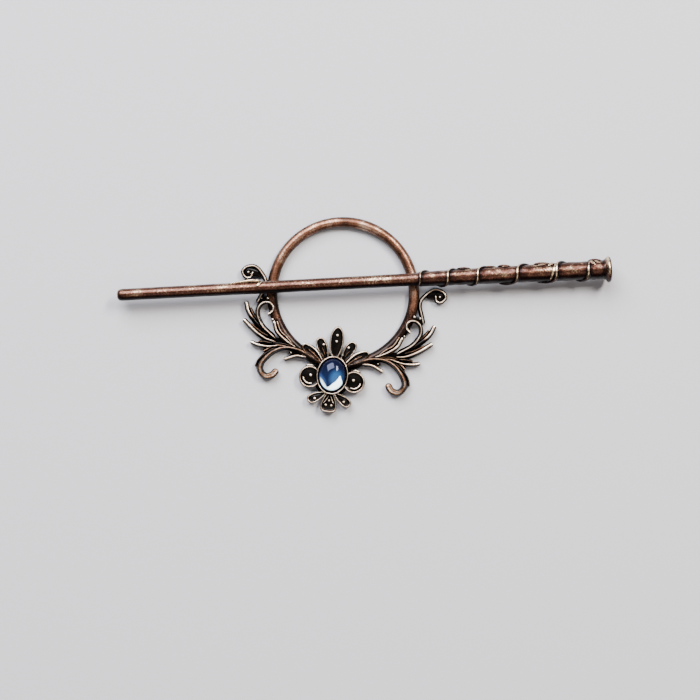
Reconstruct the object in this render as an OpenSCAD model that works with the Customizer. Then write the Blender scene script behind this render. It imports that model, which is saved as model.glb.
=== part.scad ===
// A hair slide: a cast ring with two leafy sprays and a set cabochon, and the tapered stick
// that lies across the ring. All sizes are in millimetres. The origin is the ring's centre on
// the plane that the set rests on, X runs to the ornament's right and Z points to the viewer.

/* [Ring] */
// Outer diameter of the ring
ring_od = 46; // [40:0.5:60]
// Diameter of the ring's round wire
wire_d = 3.2; // [2.8:0.1:4]

/* [Sprays] */
// Width of the thickest strand at its blunt tip
strand_w = 2; // [1.4:0.1:2.4]
// Height of a spray's crests at their tips
crest_h = 2.4; // [2:0.1:3]
// How far a crest stands proud of the ring where it crosses it
crest_rise = 0.6; // [0.4:0.1:1]
// Height of the dark webs under the crests
web_h = 1.5; // [1:0.1:1.9]

/* [Rosette] */
// Length of the cabochon
stone_l = 10; // [8:0.5:12]
// Width of the cabochon
stone_w = 8; // [6:0.5:10]
// Height of the cabochon's dome over its edge
stone_rise = 2.7; // [2:0.1:4]
// Distance from the ring's outer edge out to the cabochon's centre
stone_out = 1.9; // [0.5:0.1:4]
// Wall of the bezel round the cabochon
bezel_w = 0.75; // [0.5:0.05:1.2]
// Height of the bezel's lip
bezel_h = 4.4; // [4:0.1:5.5]
// How far the collar at the bezel's foot reaches past the cabochon, and its height
collar_w = 1.8; // [1.2:0.1:2.4]
collar_h = 1.5; // [1:0.1:1.8]
// Depth of the seat under the bezel's lip
seat_depth = 1.1; // [0.6:0.1:1.6]
// Height of a petal's floor
floor_h = 1.9; // [1.2:0.1:2.4]
// Height of a petal's rim
rim_h = 2.8; // [2.4:0.1:3.4]
// Width of a petal's rim
rim_w = 0.6; // [0.4:0.05:0.9]
// Diameter of the largest relief bead
bead_d = 1.3; // [0.8:0.05:1.8]

/* [Stick] */
// Length of the stick from its blunt tip to the end of its flare
stick_l = 148.2; // [130:0.2:170]
// Diameter at the tip
tip_d = 3.6; // [3:0.1:4]
// Diameter of the shaft where the handle begins
shaft_d = 3.9; // [3.4:0.1:4.4]
// Diameter of the handle's thin end
handle_d = 4.6; // [4.2:0.1:5.4]
// Diameter of the handle's thick end
grip_d = 5.9; // [5.4:0.1:6.4]
// Length of the handle with its flare
handle_l = 57.6; // [50:0.2:66]
// Diameter of the flared end
flare_d = 7.9; // [7:0.1:9]
// Thickness of the flared end
flare_t = 2.1; // [1.5:0.1:3]
// Width of the vine
vine_w = 1.3; // [0.9:0.05:1.6]
// How far the vine stands proud of the handle
vine_rise = 0.55; // [0.3:0.05:0.7]

/* [Lie of the stick] */
// Turn of the stick from the ring's X axis, in degrees
stick_turn = 10.4; // [5:0.1:16]
// Distance of the stick's axis from the ring's centre
stick_offset = 2.9; // [0:0.1:6]
// Gap between the shaft and the ring's front
stick_gap = 0.1; // [0.05:0.01:0.3]
// Gap between the cabochon and its seat
stone_gap = 0.06; // [0.03:0.01:0.12]

/* [Hidden] */

ring_sides = 12;
ring_r = ring_od / 2;
wire_r = wire_d / 2;
wire_mid = ring_r - wire_r;
// The wire lies on one of its flats.
wire_z = wire_r * cos(180 / ring_sides);
ring_top = wire_z + wire_r;
// Crest height where a strand crosses the ring
over_h = ring_top + crest_rise;
stone_y = -ring_r - stone_out;
seat_z = bezel_h - seat_depth;

ring_steps = 60;
oval_steps = 24;
dome_steps = 6;
petal_steps = 16;
volute_steps = 20;
bead_sides = 10;
bud_sides = 8;
shaft_sides = 18;
vine_steps = 10;
// How deep one piece of a casting is sunk into the next
overlap = 0.3;
// Thickness of the thin slices that a hull is drawn round
slice = 0.02;
// Bevel of a strand's crest, as a share of the crest's width
crest_bevel = 0.4;
// Height of a rim's upright side as a share of the rim's, and half the flat on its top as a
// share of its width
rim_shoulder = 0.55;
rim_flat = 0.2;
// Height of a volute's ridges over its floor, as a share of its rim's
ridge_share = 0.6;
// Bevel on the bezel's lip, and where its top begins and ends as shares of the wall
lip_bevel = 0.25;
lip_top = [0.35, 0.7];
// Height of the cabochon's upright edge and width of the flat facet at its top
stone_edge = 0.4;
stone_flat = 0.4;

// Rounding of a strand's tip. Columns: distance past its last knot as a share of the tip's
// width, and the share of the width that is left there
NOSE = [[0, 1], [0.34, 0.72], [0.48, 0.34]];

// Centre lines of one side's strands from root to tip, as shares of ring_r.
hook_line = [[0.28, -0.89], [0.47, -0.81], [0.66, -0.80], [0.81, -0.87], [0.92, -0.995],
    [0.955, -1.09], [0.93, -1.165], [0.87, -1.205], [0.79, -1.185], [0.75, -1.135]];
twig_line = [[0.37, -0.89], [0.50, -0.89], [0.64, -0.95]];
brow_line = [[0.62, -0.785], [0.79, -0.79], [0.93, -0.88]];
curl_line = [[0.80, -0.70], [0.99, -0.56], [1.07, -0.42], [1.07, -0.32], [0.98, -0.24],
    [0.89, -0.27], [0.88, -0.33], [0.94, -0.40]];
leaf_a_line = [[0.99, -0.60], [1.12, -0.48], [1.20, -0.39], [1.24, -0.29]];
leaf_b_line = [[0.80, -0.74], [0.93, -0.715], [1.09, -0.63], [1.23, -0.52]];
leaf_c_line = [[0.76, -0.79], [0.90, -0.815], [1.02, -0.81], [1.10, -0.79]];
leaf_d_line = [[0.52, -0.78], [0.66, -0.71], [0.79, -0.61], [0.84, -0.50]];
leaf_e_line = [[0.57, -0.745], [0.66, -0.66], [0.74, -0.60], [0.80, -0.49]];
tendril_line = [[1.10, -0.27], [1.06, -0.16], [1.02, -0.04], [1.04, 0.06], [1.14, 0.175],
    [1.22, 0.205], [1.31, 0.17], [1.34, 0.105], [1.29, 0.045], [1.23, 0.05], [1.21, 0.11]];

// One side's strands. Columns: centre line, crest width at root and tip and web width at
// root and tip as shares of strand_w, crest height at the root from 0, which is crest_h,
// to 1, which clears the ring, the same at the tip, and steps for each stretch.
STRANDS = [
    [hook_line,    0.30, 1.00, 0.85, 1.05, 1.0, 0.2, 2],
    [twig_line,    0.28, 0.50, 0.80, 0.55, 0.6, 0.0, 3],
    [brow_line,    0.22, 0.26, 0.80, 0.50, 0.6, 0.1, 2],
    [curl_line,    0.30, 0.36, 0.80, 0.45, 0.9, 1.0, 2],
    [leaf_a_line,  0.30, 0.62, 1.00, 0.70, 0.4, 0.0, 2],
    [leaf_b_line,  0.26, 0.62, 0.95, 0.70, 0.8, 0.0, 2],
    [leaf_c_line,  0.24, 0.55, 0.80, 0.62, 0.8, 0.0, 2],
    [leaf_d_line,  0.26, 0.60, 0.80, 0.68, 1.0, 0.9, 2],
    [leaf_e_line,  0.24, 0.34, 0.60, 0.42, 1.0, 1.0, 2],
    [tendril_line, 0.34, 0.34, 0.70, 0.45, 0.0, 0.0, 2],
];

// Round plates that fill the spray between its strands, in hulled pairs. Columns: centre as
// shares of ring_r and diameter as a share of strand_w, for one end and then the other.
WEBS = [
    [[0.44, -0.85], 0.9, [0.58, -0.86], 0.6],
    [[0.74, -0.75], 1.2, [0.98, -0.66], 1.0],
    [[0.80, -0.79], 0.9, [0.93, -0.79], 0.7],
    [[0.98, -0.22], 1.0, [1.06, -0.24], 1.1],
    [[1.13, 0.11],  1.0, [1.265, 0.12], 1.3],
];

// Relief beads of one side's spray. Columns: place as shares of ring_r, diameter as a share
// of bead_d, and height of the centre from 0, which is web_h, to 1, which is the ring's top.
SPRAY_BEADS = [
    [[0.97, -0.19],  0.75, 0.5],
    [[1.05, -0.20],  0.65, 0.1],
    [[0.87, -0.46],  0.65, 0.6],
    [[0.575, -0.86], 0.60, 0.0],
    [[1.265, 0.115], 0.70, 0.0],
];

// Petals about the cabochon. Columns: root as shares of stone_l from the cabochon's centre,
// turn from straight up in degrees, length and width as shares of stone_l, share of the width
// at the root, power of the outline, lift of the rim from 0 to 1, which clears the ring, and
// whether the other side has the same one.
PETALS = [
    [[0, 0.50],      0,   0.95, 0.43, 0.72, 1.10, 0.0, false],
    [[0.23, 0.44],   26,  0.68, 0.35, 0.50, 0.85, 0.0, true],
    [[0.33, 0.40],   59,  0.75, 0.30, 0.85, 0.90, 1.0, true],
    [[0.15, -0.55],  121, 0.55, 0.33, 0.35, 0.80, 0.0, true],
    [[0, -0.50],     180, 0.60, 0.57, 0.36, 0.55, 0.0, false],
];

// Relief beads about the cabochon. Columns: place as shares of stone_l, diameter as a share
// of bead_d, and whether the other side has the same one.
ROSETTE_BEADS = [
    [[0, 1.21],       0.85, false],
    [[0, 1.02],       0.85, false],
    [[0.38, 0.88],    0.80, true],
    [[0.22, 0.64],    0.80, true],
    [[0.65, -0.08],   1.00, true],
    [[0.44, -0.76],   0.85, true],
    [[0.085, -0.91],  0.75, true],
    [[0, -0.77],      0.75, false],
];

// A volute beside the cabochon: its centre and radius as shares of stone_l
volute_at = [0.67, -0.13];
volute_r = 0.30;
// Ridges along a volute. Columns: radius as a share of its own, how much further out as a share
// of rim_w, and the end angles, clockwise
VOLUTE_RIDGES = [[0.66, 0, -5, -115], [1, 0.9, 103, 66]];

// Places along the handle, as shares of its length, at which the vine crosses the front.
VINE_FRONTS = [0.006, 0.150, 0.305, 0.511, 0.714, 0.88];
// Share of a turn that the vine runs on past the first and the last of them
vine_lead = 0.2;
// How much steeper than a plain screw it stands across the front and the back, and across the
// front alone. Together they stay under 1.
vine_ease = [0.5, 0.43];
// Share of its width that it has at the thin end of the handle
vine_thin = 0.7;
// Stretch over which the vine's ends taper, as a share of a turn, and what is left there
vine_fade = 0.25;
vine_end = 0.3;
// Section of the vine. Columns: place across it as a share of its width, and height over the
// handle as a share of its rise, or -1 for the sunk foot
VINE_SECTION = [[-0.5, -1], [-0.42, 0.6], [-0.12, 1], [0.2, 1], [0.46, 0.5], [0.5, -1]];

// Buds on the vine. Columns: place as a share of the handle's length, angle from the front
// towards +Y in degrees, and length as a share of the vine's width. Each runs a little round
// the handle too, by an angle to either side, and its thickness is a share of the vine's rise.
bud_sweep = 9;
bud_share = 1.5;
BUDS = [
    [0.235, 86, 2.2],
    [0.448, 80, 2.0],
    [0.64, 80, 2.6],
    [0.922, 82, 2.2],
    [0.458, 265, 2.6],
    [0.656, 265, 2.8],
];

// The slim leaf that lifts off the shaft's side. Columns: place as a share of the shaft's
// length, and width and distance of its middle from the skin as shares of the vine's width
SHAFT_LEAF = [[0.372, 0.35, -0.12], [0.392, 0.6, 0], [0.42, 0.8, 0.2], [0.447, 0.8, 0.4],
    [0.466, 0.7, 0.5], [0.479, 0.4, 0.5]];
shaft_leaf_turn = 64;

// The stick's rounded tip. Columns: place along it and radius as shares of tip_d
TIP = [[0, 0], [0, 0.22], [0.07, 0.36], [0.24, 0.47], [0.5, 0.5]];
// The flare. Columns: place from its start and distance in from its edge, as shares of flare_t
FLARE = [[0, 0.46], [0.2, 0.38], [0.4, 0.17], [0.54, 0.03], [0.65, 0], [0.84, 0.07], [1, 0.3]];
// How far before its start the flare begins to swell, as a share of flare_t
flare_run = 0.3;
// Length of the shoulder where the handle begins
shoulder_l = 0.6;
// How far past the ring's outer edge the handle begins
handle_clear = 0.1;

function mix(a, b, t) = a + (b - a) * t;
function unit(v) = v / norm(v);
function left_of(v) = [-v[1], v[0]];

// A curve through the knots, with a number of steps for each stretch
function end_knot(k, i) =
    i < 0 ? 2 * k[0] - k[1] :
    i >= len(k) ? 2 * k[len(k) - 1] - k[len(k) - 2] : k[i];
function between(a, b, c, d, t) =
    0.5 * (2 * b + (c - a) * t + (2 * a - 5 * b + 4 * c - d) * t * t
        + (3 * b - a - 3 * c + d) * t * t * t);
function curve(k, steps) = [
    for (i = [0 : len(k) - 2])
        for (j = [0 : steps - 1])
            between(end_knot(k, i - 1), k[i], k[i + 1], end_knot(k, i + 2), j / steps),
    k[len(k) - 1],
];
function heading(p, i) = unit(p[min(i + 1, len(p) - 1)] - p[max(i - 1, 0)]);

// Section of a strand across its path: a foot that narrows to a blunt crest
function crest_section(foot, crest, high) = [
    [-foot / 2, 0], [foot / 2, 0], [crest / 2, high - crest * crest_bevel],
    [crest / 4, high], [-crest / 4, high], [-crest / 2, high - crest * crest_bevel],
];

// Section of a petal's rim
function rim_section(w, low, high) = [
    [-w / 2, low], [w / 2, low], [w / 2, mix(low, high, rim_shoulder)], [w * rim_flat, high],
    [-w * rim_flat, high], [-w / 2, mix(low, high, rim_shoulder)],
];

function station(at, across, section) =
    [for (s = section) [at[0] + across[0] * s[0], at[1] + across[1] * s[0], s[1]]];

// A closed solid through rings of points, all with the same number of points
module skin(rings, closed = false) {
    n = len(rings);
    m = len(rings[0]);
    sides = [
        for (i = [0 : closed ? n - 1 : n - 2])
            for (j = [0 : m - 1])
                let (a = i * m, b = ((i + 1) % n) * m, k = (j + 1) % m)
                    each [[a + j, b + j, b + k], [a + j, b + k, a + k]],
    ];
    caps = closed ? [] : [[for (j = [0 : m - 1]) j], [for (j = [m - 1 : -1 : 0]) (n - 1) * m + j]];
    polyhedron(points = [for (r = rings) each r], faces = concat(sides, caps), convexity = 6);
}

// A strand from its root to a blunt tip, with two narrower sections rounding the tip
module strand(row) {
    path = curve([for (k = row[0]) k * ring_r], row[7]);
    last = len(path) - 1;
    tip_w = row[2] * strand_w;
    body = [for (i = [0 : last - 1]) [path[i], heading(path, i), i / last, 1]];
    ends = [for (s = NOSE)
        [path[last] + heading(path, last) * tip_w * s[0], heading(path, last), 1, s[1]]];
    skin([for (s = concat(body, ends))
        let (
            swell = s[2] * s[2] * (3 - 2 * s[2]),
            crest = mix(row[1], row[2], swell) * strand_w * s[3],
            foot = max(mix(row[3], row[4], s[2]) * strand_w * s[3], crest + slice),
            high = mix(crest_h, over_h, mix(row[5], row[6], s[2]))
        )
        station(s[0], left_of(s[1]), crest_section(foot, crest, high - crest * (1 - s[3])))]);
}

module bead(at, d, z) {
    translate([at[0], at[1], z]) sphere(d = d, $fn = bead_sides);
}

module web(row) {
    hull() {
        translate(row[0] * ring_r) cylinder(d = row[1] * strand_w, h = web_h, $fn = bead_sides);
        translate(row[2] * ring_r) cylinder(d = row[3] * strand_w, h = web_h, $fn = bead_sides);
    }
}

module spray() {
    for (row = STRANDS) strand(row);
    for (row = WEBS) web(row);
    for (row = SPRAY_BEADS)
        bead(row[0] * ring_r, row[1] * bead_d, mix(web_h, ring_top, row[2]));
}

module ring_wire() {
    rotate_extrude($fn = ring_steps) translate([wire_mid, wire_z])
        rotate(90 + 180 / ring_sides) circle(r = wire_r, $fn = ring_sides);
}

// Outline of a petal that points along +Y from its root
function petal_outline(row) = [
    for (i = [0 : petal_steps - 1])
        let (t = 360 * i / petal_steps, up = (1 - cos(t)) / 2, side = sin(t))
            [sign(side) * pow(abs(side), row[5]) * mix(row[4], 1, up) * row[3] / 2, row[2] * up]
                * stone_l,
];

// A dish with a raised rim along its outline and a recessed floor
module dish(outline, low, high) {
    n = len(outline);
    out = [for (i = [0 : n - 1]) -left_of(unit(outline[(i + 1) % n] - outline[(i + n - 1) % n]))];
    levels = [
        [0.5, 0], [0.5, mix(low, high, rim_shoulder)], [rim_flat, high], [-rim_flat, high],
        [-0.5, low],
    ];
    skin([for (v = levels)
        [for (i = [0 : n - 1]) let (p = outline[i] + out[i] * rim_w * v[0]) [p[0], p[1], v[1]]]]);
}

module petal(row) {
    translate(row[0] * stone_l) rotate(-row[1])
        dish(petal_outline(row), mix(floor_h, ring_top, row[6] * 0.6), mix(rim_h, over_h, row[6]));
}

// A strip of rim along an arc about a centre
module arc_rim(centre, r, arc, low, high) {
    steps = petal_steps / 2;
    skin([for (i = [0 : steps])
        let (a = mix(arc[0], arc[1], i / steps), d = [sin(a), -cos(a)])
            station(centre + r * [cos(a), sin(a)], left_of(d), rim_section(rim_w, low, high))]);
}

module volute() {
    centre = volute_at * stone_l;
    r = volute_r * stone_l;
    circle_line = [
        for (i = [0 : volute_steps - 1]) let (a = 360 * i / volute_steps) r * [cos(a), sin(a)],
    ];
    translate(centre) dish(circle_line, floor_h, rim_h);
    for (row = VOLUTE_RIDGES)
        arc_rim(centre, r * row[0] + rim_w * row[1], [row[2], row[3]], 0,
            mix(floor_h, rim_h, ridge_share));
}

module oval(l, w, h) {
    scale([w / l, 1, 1]) cylinder(d = l, h = h, $fn = oval_steps);
}

// Wall of the setting with a rounded lip, leaning in a little as it rises, and its collar
module bezel() {
    path = [for (i = [0 : oval_steps - 1])
        let (a = 360 * i / oval_steps) [stone_w / 2 * cos(a), stone_l / 2 * sin(a)]];
    skin([for (i = [0 : oval_steps - 1])
        let (
            a = 360 * i / oval_steps,
            out = unit([cos(a) / stone_w, sin(a) / stone_l]),
            foot = bezel_w + stone_gap * 2
        )
            station(path[i], -out, [
                [overlap, 0], [overlap, bezel_h - 2 * lip_bevel],
                [-bezel_w * lip_top[0], bezel_h], [-bezel_w * lip_top[1], bezel_h],
                [-bezel_w, bezel_h - lip_bevel], [-foot, seat_z], [-foot, 0],
            ])
    ], closed = true);
    oval(stone_l - overlap, stone_w - overlap, seat_z + overlap);
    oval(stone_l + 2 * collar_w, stone_w + 2 * collar_w, collar_h);
}

module rosette() {
    for (row = PETALS) {
        petal(row);
        if (row[7]) mirror([1, 0, 0]) petal(row);
    }
    for (side = [0, 1]) mirror([side, 0, 0]) volute();
    for (row = ROSETTE_BEADS)
        for (side = [0 : row[2] ? 1 : 0])
            mirror([side, 0, 0]) bead(row[0] * stone_l, row[1] * bead_d, floor_h);
    bezel();
}

module scroll_ring() {
    color("#8a5f45") {
        difference() {
            union() {
                ring_wire();
                for (side = [0, 1]) mirror([side, 0, 0]) spray();
                translate([0, stone_y]) rosette();
            }
            translate([0, stone_y, seat_z])
                oval(stone_l + 2 * stone_gap, stone_w + 2 * stone_gap, stone_l);
        }
    }
}

// The cabochon: a short upright edge under an oval dome
module cabochon() {
    color("#3c6ea8") translate([0, stone_y, seat_z + stone_gap]) hull() {
        oval(stone_l, stone_w, slice);
        for (i = [0 : dome_steps])
            let (a = 90 * i / dome_steps, l = max(stone_l * cos(a), stone_flat))
                translate([0, 0, stone_edge + stone_rise * sin(a) - slice])
                    oval(l, l * stone_w / stone_l, slice);
    }
}

shaft_l = stick_l - handle_l;
grip_l = handle_l - flare_t;
stick_z = ring_top + shaft_d / 2 + stick_gap;
// Distance along the stick from its tip to the foot of the perpendicular from the ring's centre
stick_at = shaft_l - sqrt(ring_r * ring_r - stick_offset * stick_offset) - handle_clear;

function shaft_radius(s) =
    s < shaft_l ? mix(tip_d, shaft_d, s / shaft_l) / 2 :
    mix(handle_d, grip_d, (s - shaft_l) / grip_l) / 2;

// Outline of the plain stick from tip to flare. Columns: place along it and radius
stick_outline = [
    each TIP * tip_d,
    [shaft_l, shaft_d / 2],
    [shaft_l + shoulder_l, handle_d / 2],
    [stick_l - flare_t * (1 + flare_run), grip_d / 2],
    for (f = FLARE) [stick_l - flare_t * (1 - f[0]), flare_d / 2 - flare_t * f[1]],
    [stick_l, 0],
];

module stick_body() {
    rotate([0, 90, 0]) rotate_extrude($fn = shaft_sides)
        polygon([for (p = stick_outline) [p[1], p[0]]]);
}

// A point on the stick, s along it, at an angle from the front towards +Y, and proud of it
function on_stick(s, turn, proud) =
    let (r = shaft_radius(s) + proud) [s, r * sin(turn), r * cos(turn)];

// Place of the vine along the stick after t turns, eased so that it stands steep in front
function vine_place(t) = let (
        last = len(VINE_FRONTS) - 1,
        i = max(0, min(last - 1, floor(t))),
        eased = t - i - vine_ease[0] * sin(720 * t) / (4 * PI)
            - vine_ease[1] * sin(360 * t) / (2 * PI)
    ) shaft_l + handle_l * mix(VINE_FRONTS[i], VINE_FRONTS[i + 1], eased);

// The vine: a flat-backed strip with a round top, wound as a left-handed screw
module vine() {
    turns = len(VINE_FRONTS) - 1 + 2 * vine_lead;
    steps = round(turns * vine_steps);
    skin([for (i = [0 : steps])
        let (
            t = -vine_lead + turns * i / steps,
            s = vine_place(t),
            taper = min(1, vine_end + min(i, steps - i) / vine_steps / vine_fade)
                * mix(vine_thin, 1, i / steps)
        )
        [for (p = VINE_SECTION)
            on_stick(s + p[0] * vine_w * taper, 360 * t,
                p[1] < 0 ? -overlap : p[1] * vine_rise * taper)]
    ]);
}

module bud(row) {
    s = shaft_l + handle_l * row[0];
    half = vine_w * row[2] / 2;
    hull() for (side = [-1, 1])
        translate(on_stick(s + side * half / 2, row[1] + side * bud_sweep, 0))
            sphere(d = vine_rise * bud_share, $fn = bud_sides);
}

module shaft_leaf() {
    for (i = [0 : len(SHAFT_LEAF) - 2])
        hull() for (row = [SHAFT_LEAF[i], SHAFT_LEAF[i + 1]]) {
            s = shaft_l * row[0];
            d = vine_w * row[1];
            translate(on_stick(s, shaft_leaf_turn, row[2] * vine_w)) sphere(d = d, $fn = bud_sides);
        }
}

module stick() {
    color("#7a5240")
        rotate(stick_turn) translate([-stick_at, stick_offset, stick_z]) {
            stick_body();
            vine();
            for (row = BUDS) bud(row);
            shaft_leaf();
        }
}

scroll_ring();
cabochon();
stick();
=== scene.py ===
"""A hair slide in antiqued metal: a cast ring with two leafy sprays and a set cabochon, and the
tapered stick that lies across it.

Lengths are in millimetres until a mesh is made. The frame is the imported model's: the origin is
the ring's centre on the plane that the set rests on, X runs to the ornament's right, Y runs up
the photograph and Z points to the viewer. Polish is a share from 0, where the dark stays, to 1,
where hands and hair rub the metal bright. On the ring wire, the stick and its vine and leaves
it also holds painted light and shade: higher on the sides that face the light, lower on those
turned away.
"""

from __future__ import annotations

import logging
import math
from collections.abc import Callable
from dataclasses import dataclass
from enum import Enum
from typing import Any

import bpy
import numpy as np
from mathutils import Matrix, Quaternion, Vector
from numpy.typing import NDArray

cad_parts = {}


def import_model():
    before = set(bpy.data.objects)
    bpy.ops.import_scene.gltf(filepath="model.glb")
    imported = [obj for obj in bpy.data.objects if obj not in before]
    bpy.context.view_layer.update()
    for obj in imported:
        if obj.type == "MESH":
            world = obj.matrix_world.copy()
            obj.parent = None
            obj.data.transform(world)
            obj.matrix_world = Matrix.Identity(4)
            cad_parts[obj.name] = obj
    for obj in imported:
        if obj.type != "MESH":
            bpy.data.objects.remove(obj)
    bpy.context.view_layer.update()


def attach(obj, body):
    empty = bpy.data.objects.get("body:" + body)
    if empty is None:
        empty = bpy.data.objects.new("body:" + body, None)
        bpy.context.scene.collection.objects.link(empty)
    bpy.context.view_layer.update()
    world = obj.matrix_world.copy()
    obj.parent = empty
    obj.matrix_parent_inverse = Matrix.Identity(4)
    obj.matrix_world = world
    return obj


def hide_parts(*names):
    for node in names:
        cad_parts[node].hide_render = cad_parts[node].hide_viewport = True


Array = NDArray[np.float64]
Value = float | Array
Pair = tuple[float, float]
Triple = tuple[float, float, float]
Line = tuple[Pair, ...]
MM = 0.001
TURN = 2 * math.pi
LOG = logging.getLogger("hair_slide")


class Body(Enum):
    """The two bodies that a piece can ride on."""

    RING = "ring"
    STICK = "stick"


class Node(Enum):
    """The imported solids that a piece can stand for."""

    CASTING = "scroll_ring"
    STONE = "cabochon"
    STICK = "stick"


class Slot(Enum):
    """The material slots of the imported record."""

    RING_METAL = "ring_metal"
    BLUE_STONE = "blue_stone"
    STICK_METAL = "stick_metal"


class Side(Enum):
    """Which of the two mirrored halves a shape is on, as the sign of its X."""

    RIGHT = 1
    LEFT = -1


# The halves that have a shape: both, or for one on the middle line, the right one alone
BOTH = tuple(Side)
MIDDLE = (Side.RIGHT,)


# Shapes

def mix(a: Value, b: Value, share: Value) -> Value:
    """Returns the value that lies the given share of the way from a to b."""
    return a + (b - a) * share


def smooth(share: Value) -> Value:
    """Returns shares from 0 to 1 eased at both ends: three squares less two cubes."""
    share = np.clip(share, 0.0, 1.0)
    return share * share * (3 - 2 * share)


def bell(place: Value, middle: float, reach: Value) -> Value:
    """Returns a bell curve's values: 1 at its middle, and about a third at its reach."""
    return np.exp(-((place - middle) / reach) ** 2)


def angles(count: int) -> Array:
    """Returns evenly spaced angles once round, in radians."""
    return np.linspace(0, TURN, count, endpoint=False)


def circle(count: int) -> Array:
    """Returns evenly spaced points of the unit circle, one a row."""
    turn = angles(count)
    return np.stack([np.cos(turn), np.sin(turn)], axis=1)


def grid(x: Value, y: Value, z: Value) -> Array:
    """Returns points from their coordinates, each spread over the grid that they share."""
    return np.stack(np.broadcast_arrays(x, y, z), axis=-1)


def raised(flat: Array, height: Array) -> Array:
    """Returns rings of points in X and Y with their heights, spread over the rings, as Z."""
    return np.concatenate([flat, np.broadcast_to(height, (*flat.shape[:2], 1))], axis=2)


def mirrored(half: Array, sign: int = 1) -> Array:
    """Returns half sections with their mirror images, times the sign, put in front of them."""
    return np.concatenate([sign * half[:, ::-1], half[:, 1:]], axis=1)


def waver(place: Array, longest: float, seed: int, count: int = 6) -> Array:
    """Uneven, hand-made wander along a piece.

    It is the sum of a few sines, each closer and weaker than the one before, with random
    phases, and scaled to swing about as far as 1.

    Args:
        place: Where along the piece each value is wanted, in millimetres.
        longest: Length of the longest wave, in millimetres.
        seed: Start of the random phases.
        count: Number of waves.

    Returns:
        The values, in the shape of place.
    """
    closer, weaker, swing = 1.63, 0.72, 1.5
    draw = np.random.default_rng(seed)
    order = np.arange(count)
    pace = TURN / longest * closer ** order
    phase = draw.uniform(0, TURN, count)
    weight = weaker ** order
    waves = np.sin(place[..., None] * pace + phase) * weight
    return waves.sum(axis=-1) / weight.sum() * swing


def dimples(points: Array, size: float, seed: int, count: int = 28) -> Array:
    """Shallow dents all over a surface, with no direction of their own.

    It is the sum of sines along random directions in space, so it closes on itself round a
    rod, scaled to a spread of about one.

    Args:
        points: Points in millimetres.
        size: Middle length of the waves, in millimetres.
        seed: Start of the random directions, lengths and phases.
        count: Number of waves.

    Returns:
        One value for each point.
    """
    shortest, longest = 0.7, 1.5
    draw = np.random.default_rng(seed)
    ways = draw.normal(size=(3, count))
    ways *= TURN / (size * draw.uniform(shortest, longest, count)) / np.linalg.norm(ways, axis=0)
    phase = draw.uniform(0, TURN, count)
    return np.sin(points @ ways + phase).sum(axis=-1) / math.sqrt(count / 2)


def through(knots: Array, steps: int) -> Array:
    """A smooth curve through a few knots.

    Between two knots it is the cubic whose slope at each knot is half the step from the knot
    before to the knot after, and the ends are carried on straight.

    Args:
        knots: Two or more places, one a row.
        steps: Number of steps between two knots.

    Returns:
        The points of the curve, one a row, with the last knot at the end.
    """
    ends = np.vstack([2 * knots[0] - knots[1], knots, 2 * knots[-1] - knots[-2]])
    a, b, c, d = (part[:, None, :] for part in (ends[:-3], ends[1:-2], ends[2:-1], ends[3:]))
    t = (np.arange(steps) / steps)[None, :, None]
    points = 0.5 * (2 * b + (c - a) * t + (2 * a - 5 * b + 4 * c - d) * t ** 2
                    + (3 * b - a - 3 * c + d) * t ** 3)
    return np.vstack([points.reshape(-1, knots.shape[1]), knots[-1]])


def headings(path: Array) -> Array:
    """Returns the unit direction of a path at each of its points."""
    along = np.gradient(path, axis=0)
    return along / np.linalg.norm(along, axis=1, keepdims=True)


def stations(path: Array, heading: Array, across: Array, height: Array) -> Array:
    """Sections carried along a flat path.

    Each point is the path's point, plus its left-hand direction times the place across, at
    its own height.

    Args:
        path: The path's points in X and Y, one a row.
        heading: The path's unit directions, one a row.
        across: Place across the path for each point of each section.
        height: Height of each point of each section.

    Returns:
        The points of the sections, as rows of rings.
    """
    left = np.stack([-heading[:, 1], heading[:, 0]], axis=1)
    flat = path[:, None, :] + left[:, None, :] * across[..., None]
    return raised(flat, height[..., None])


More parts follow.
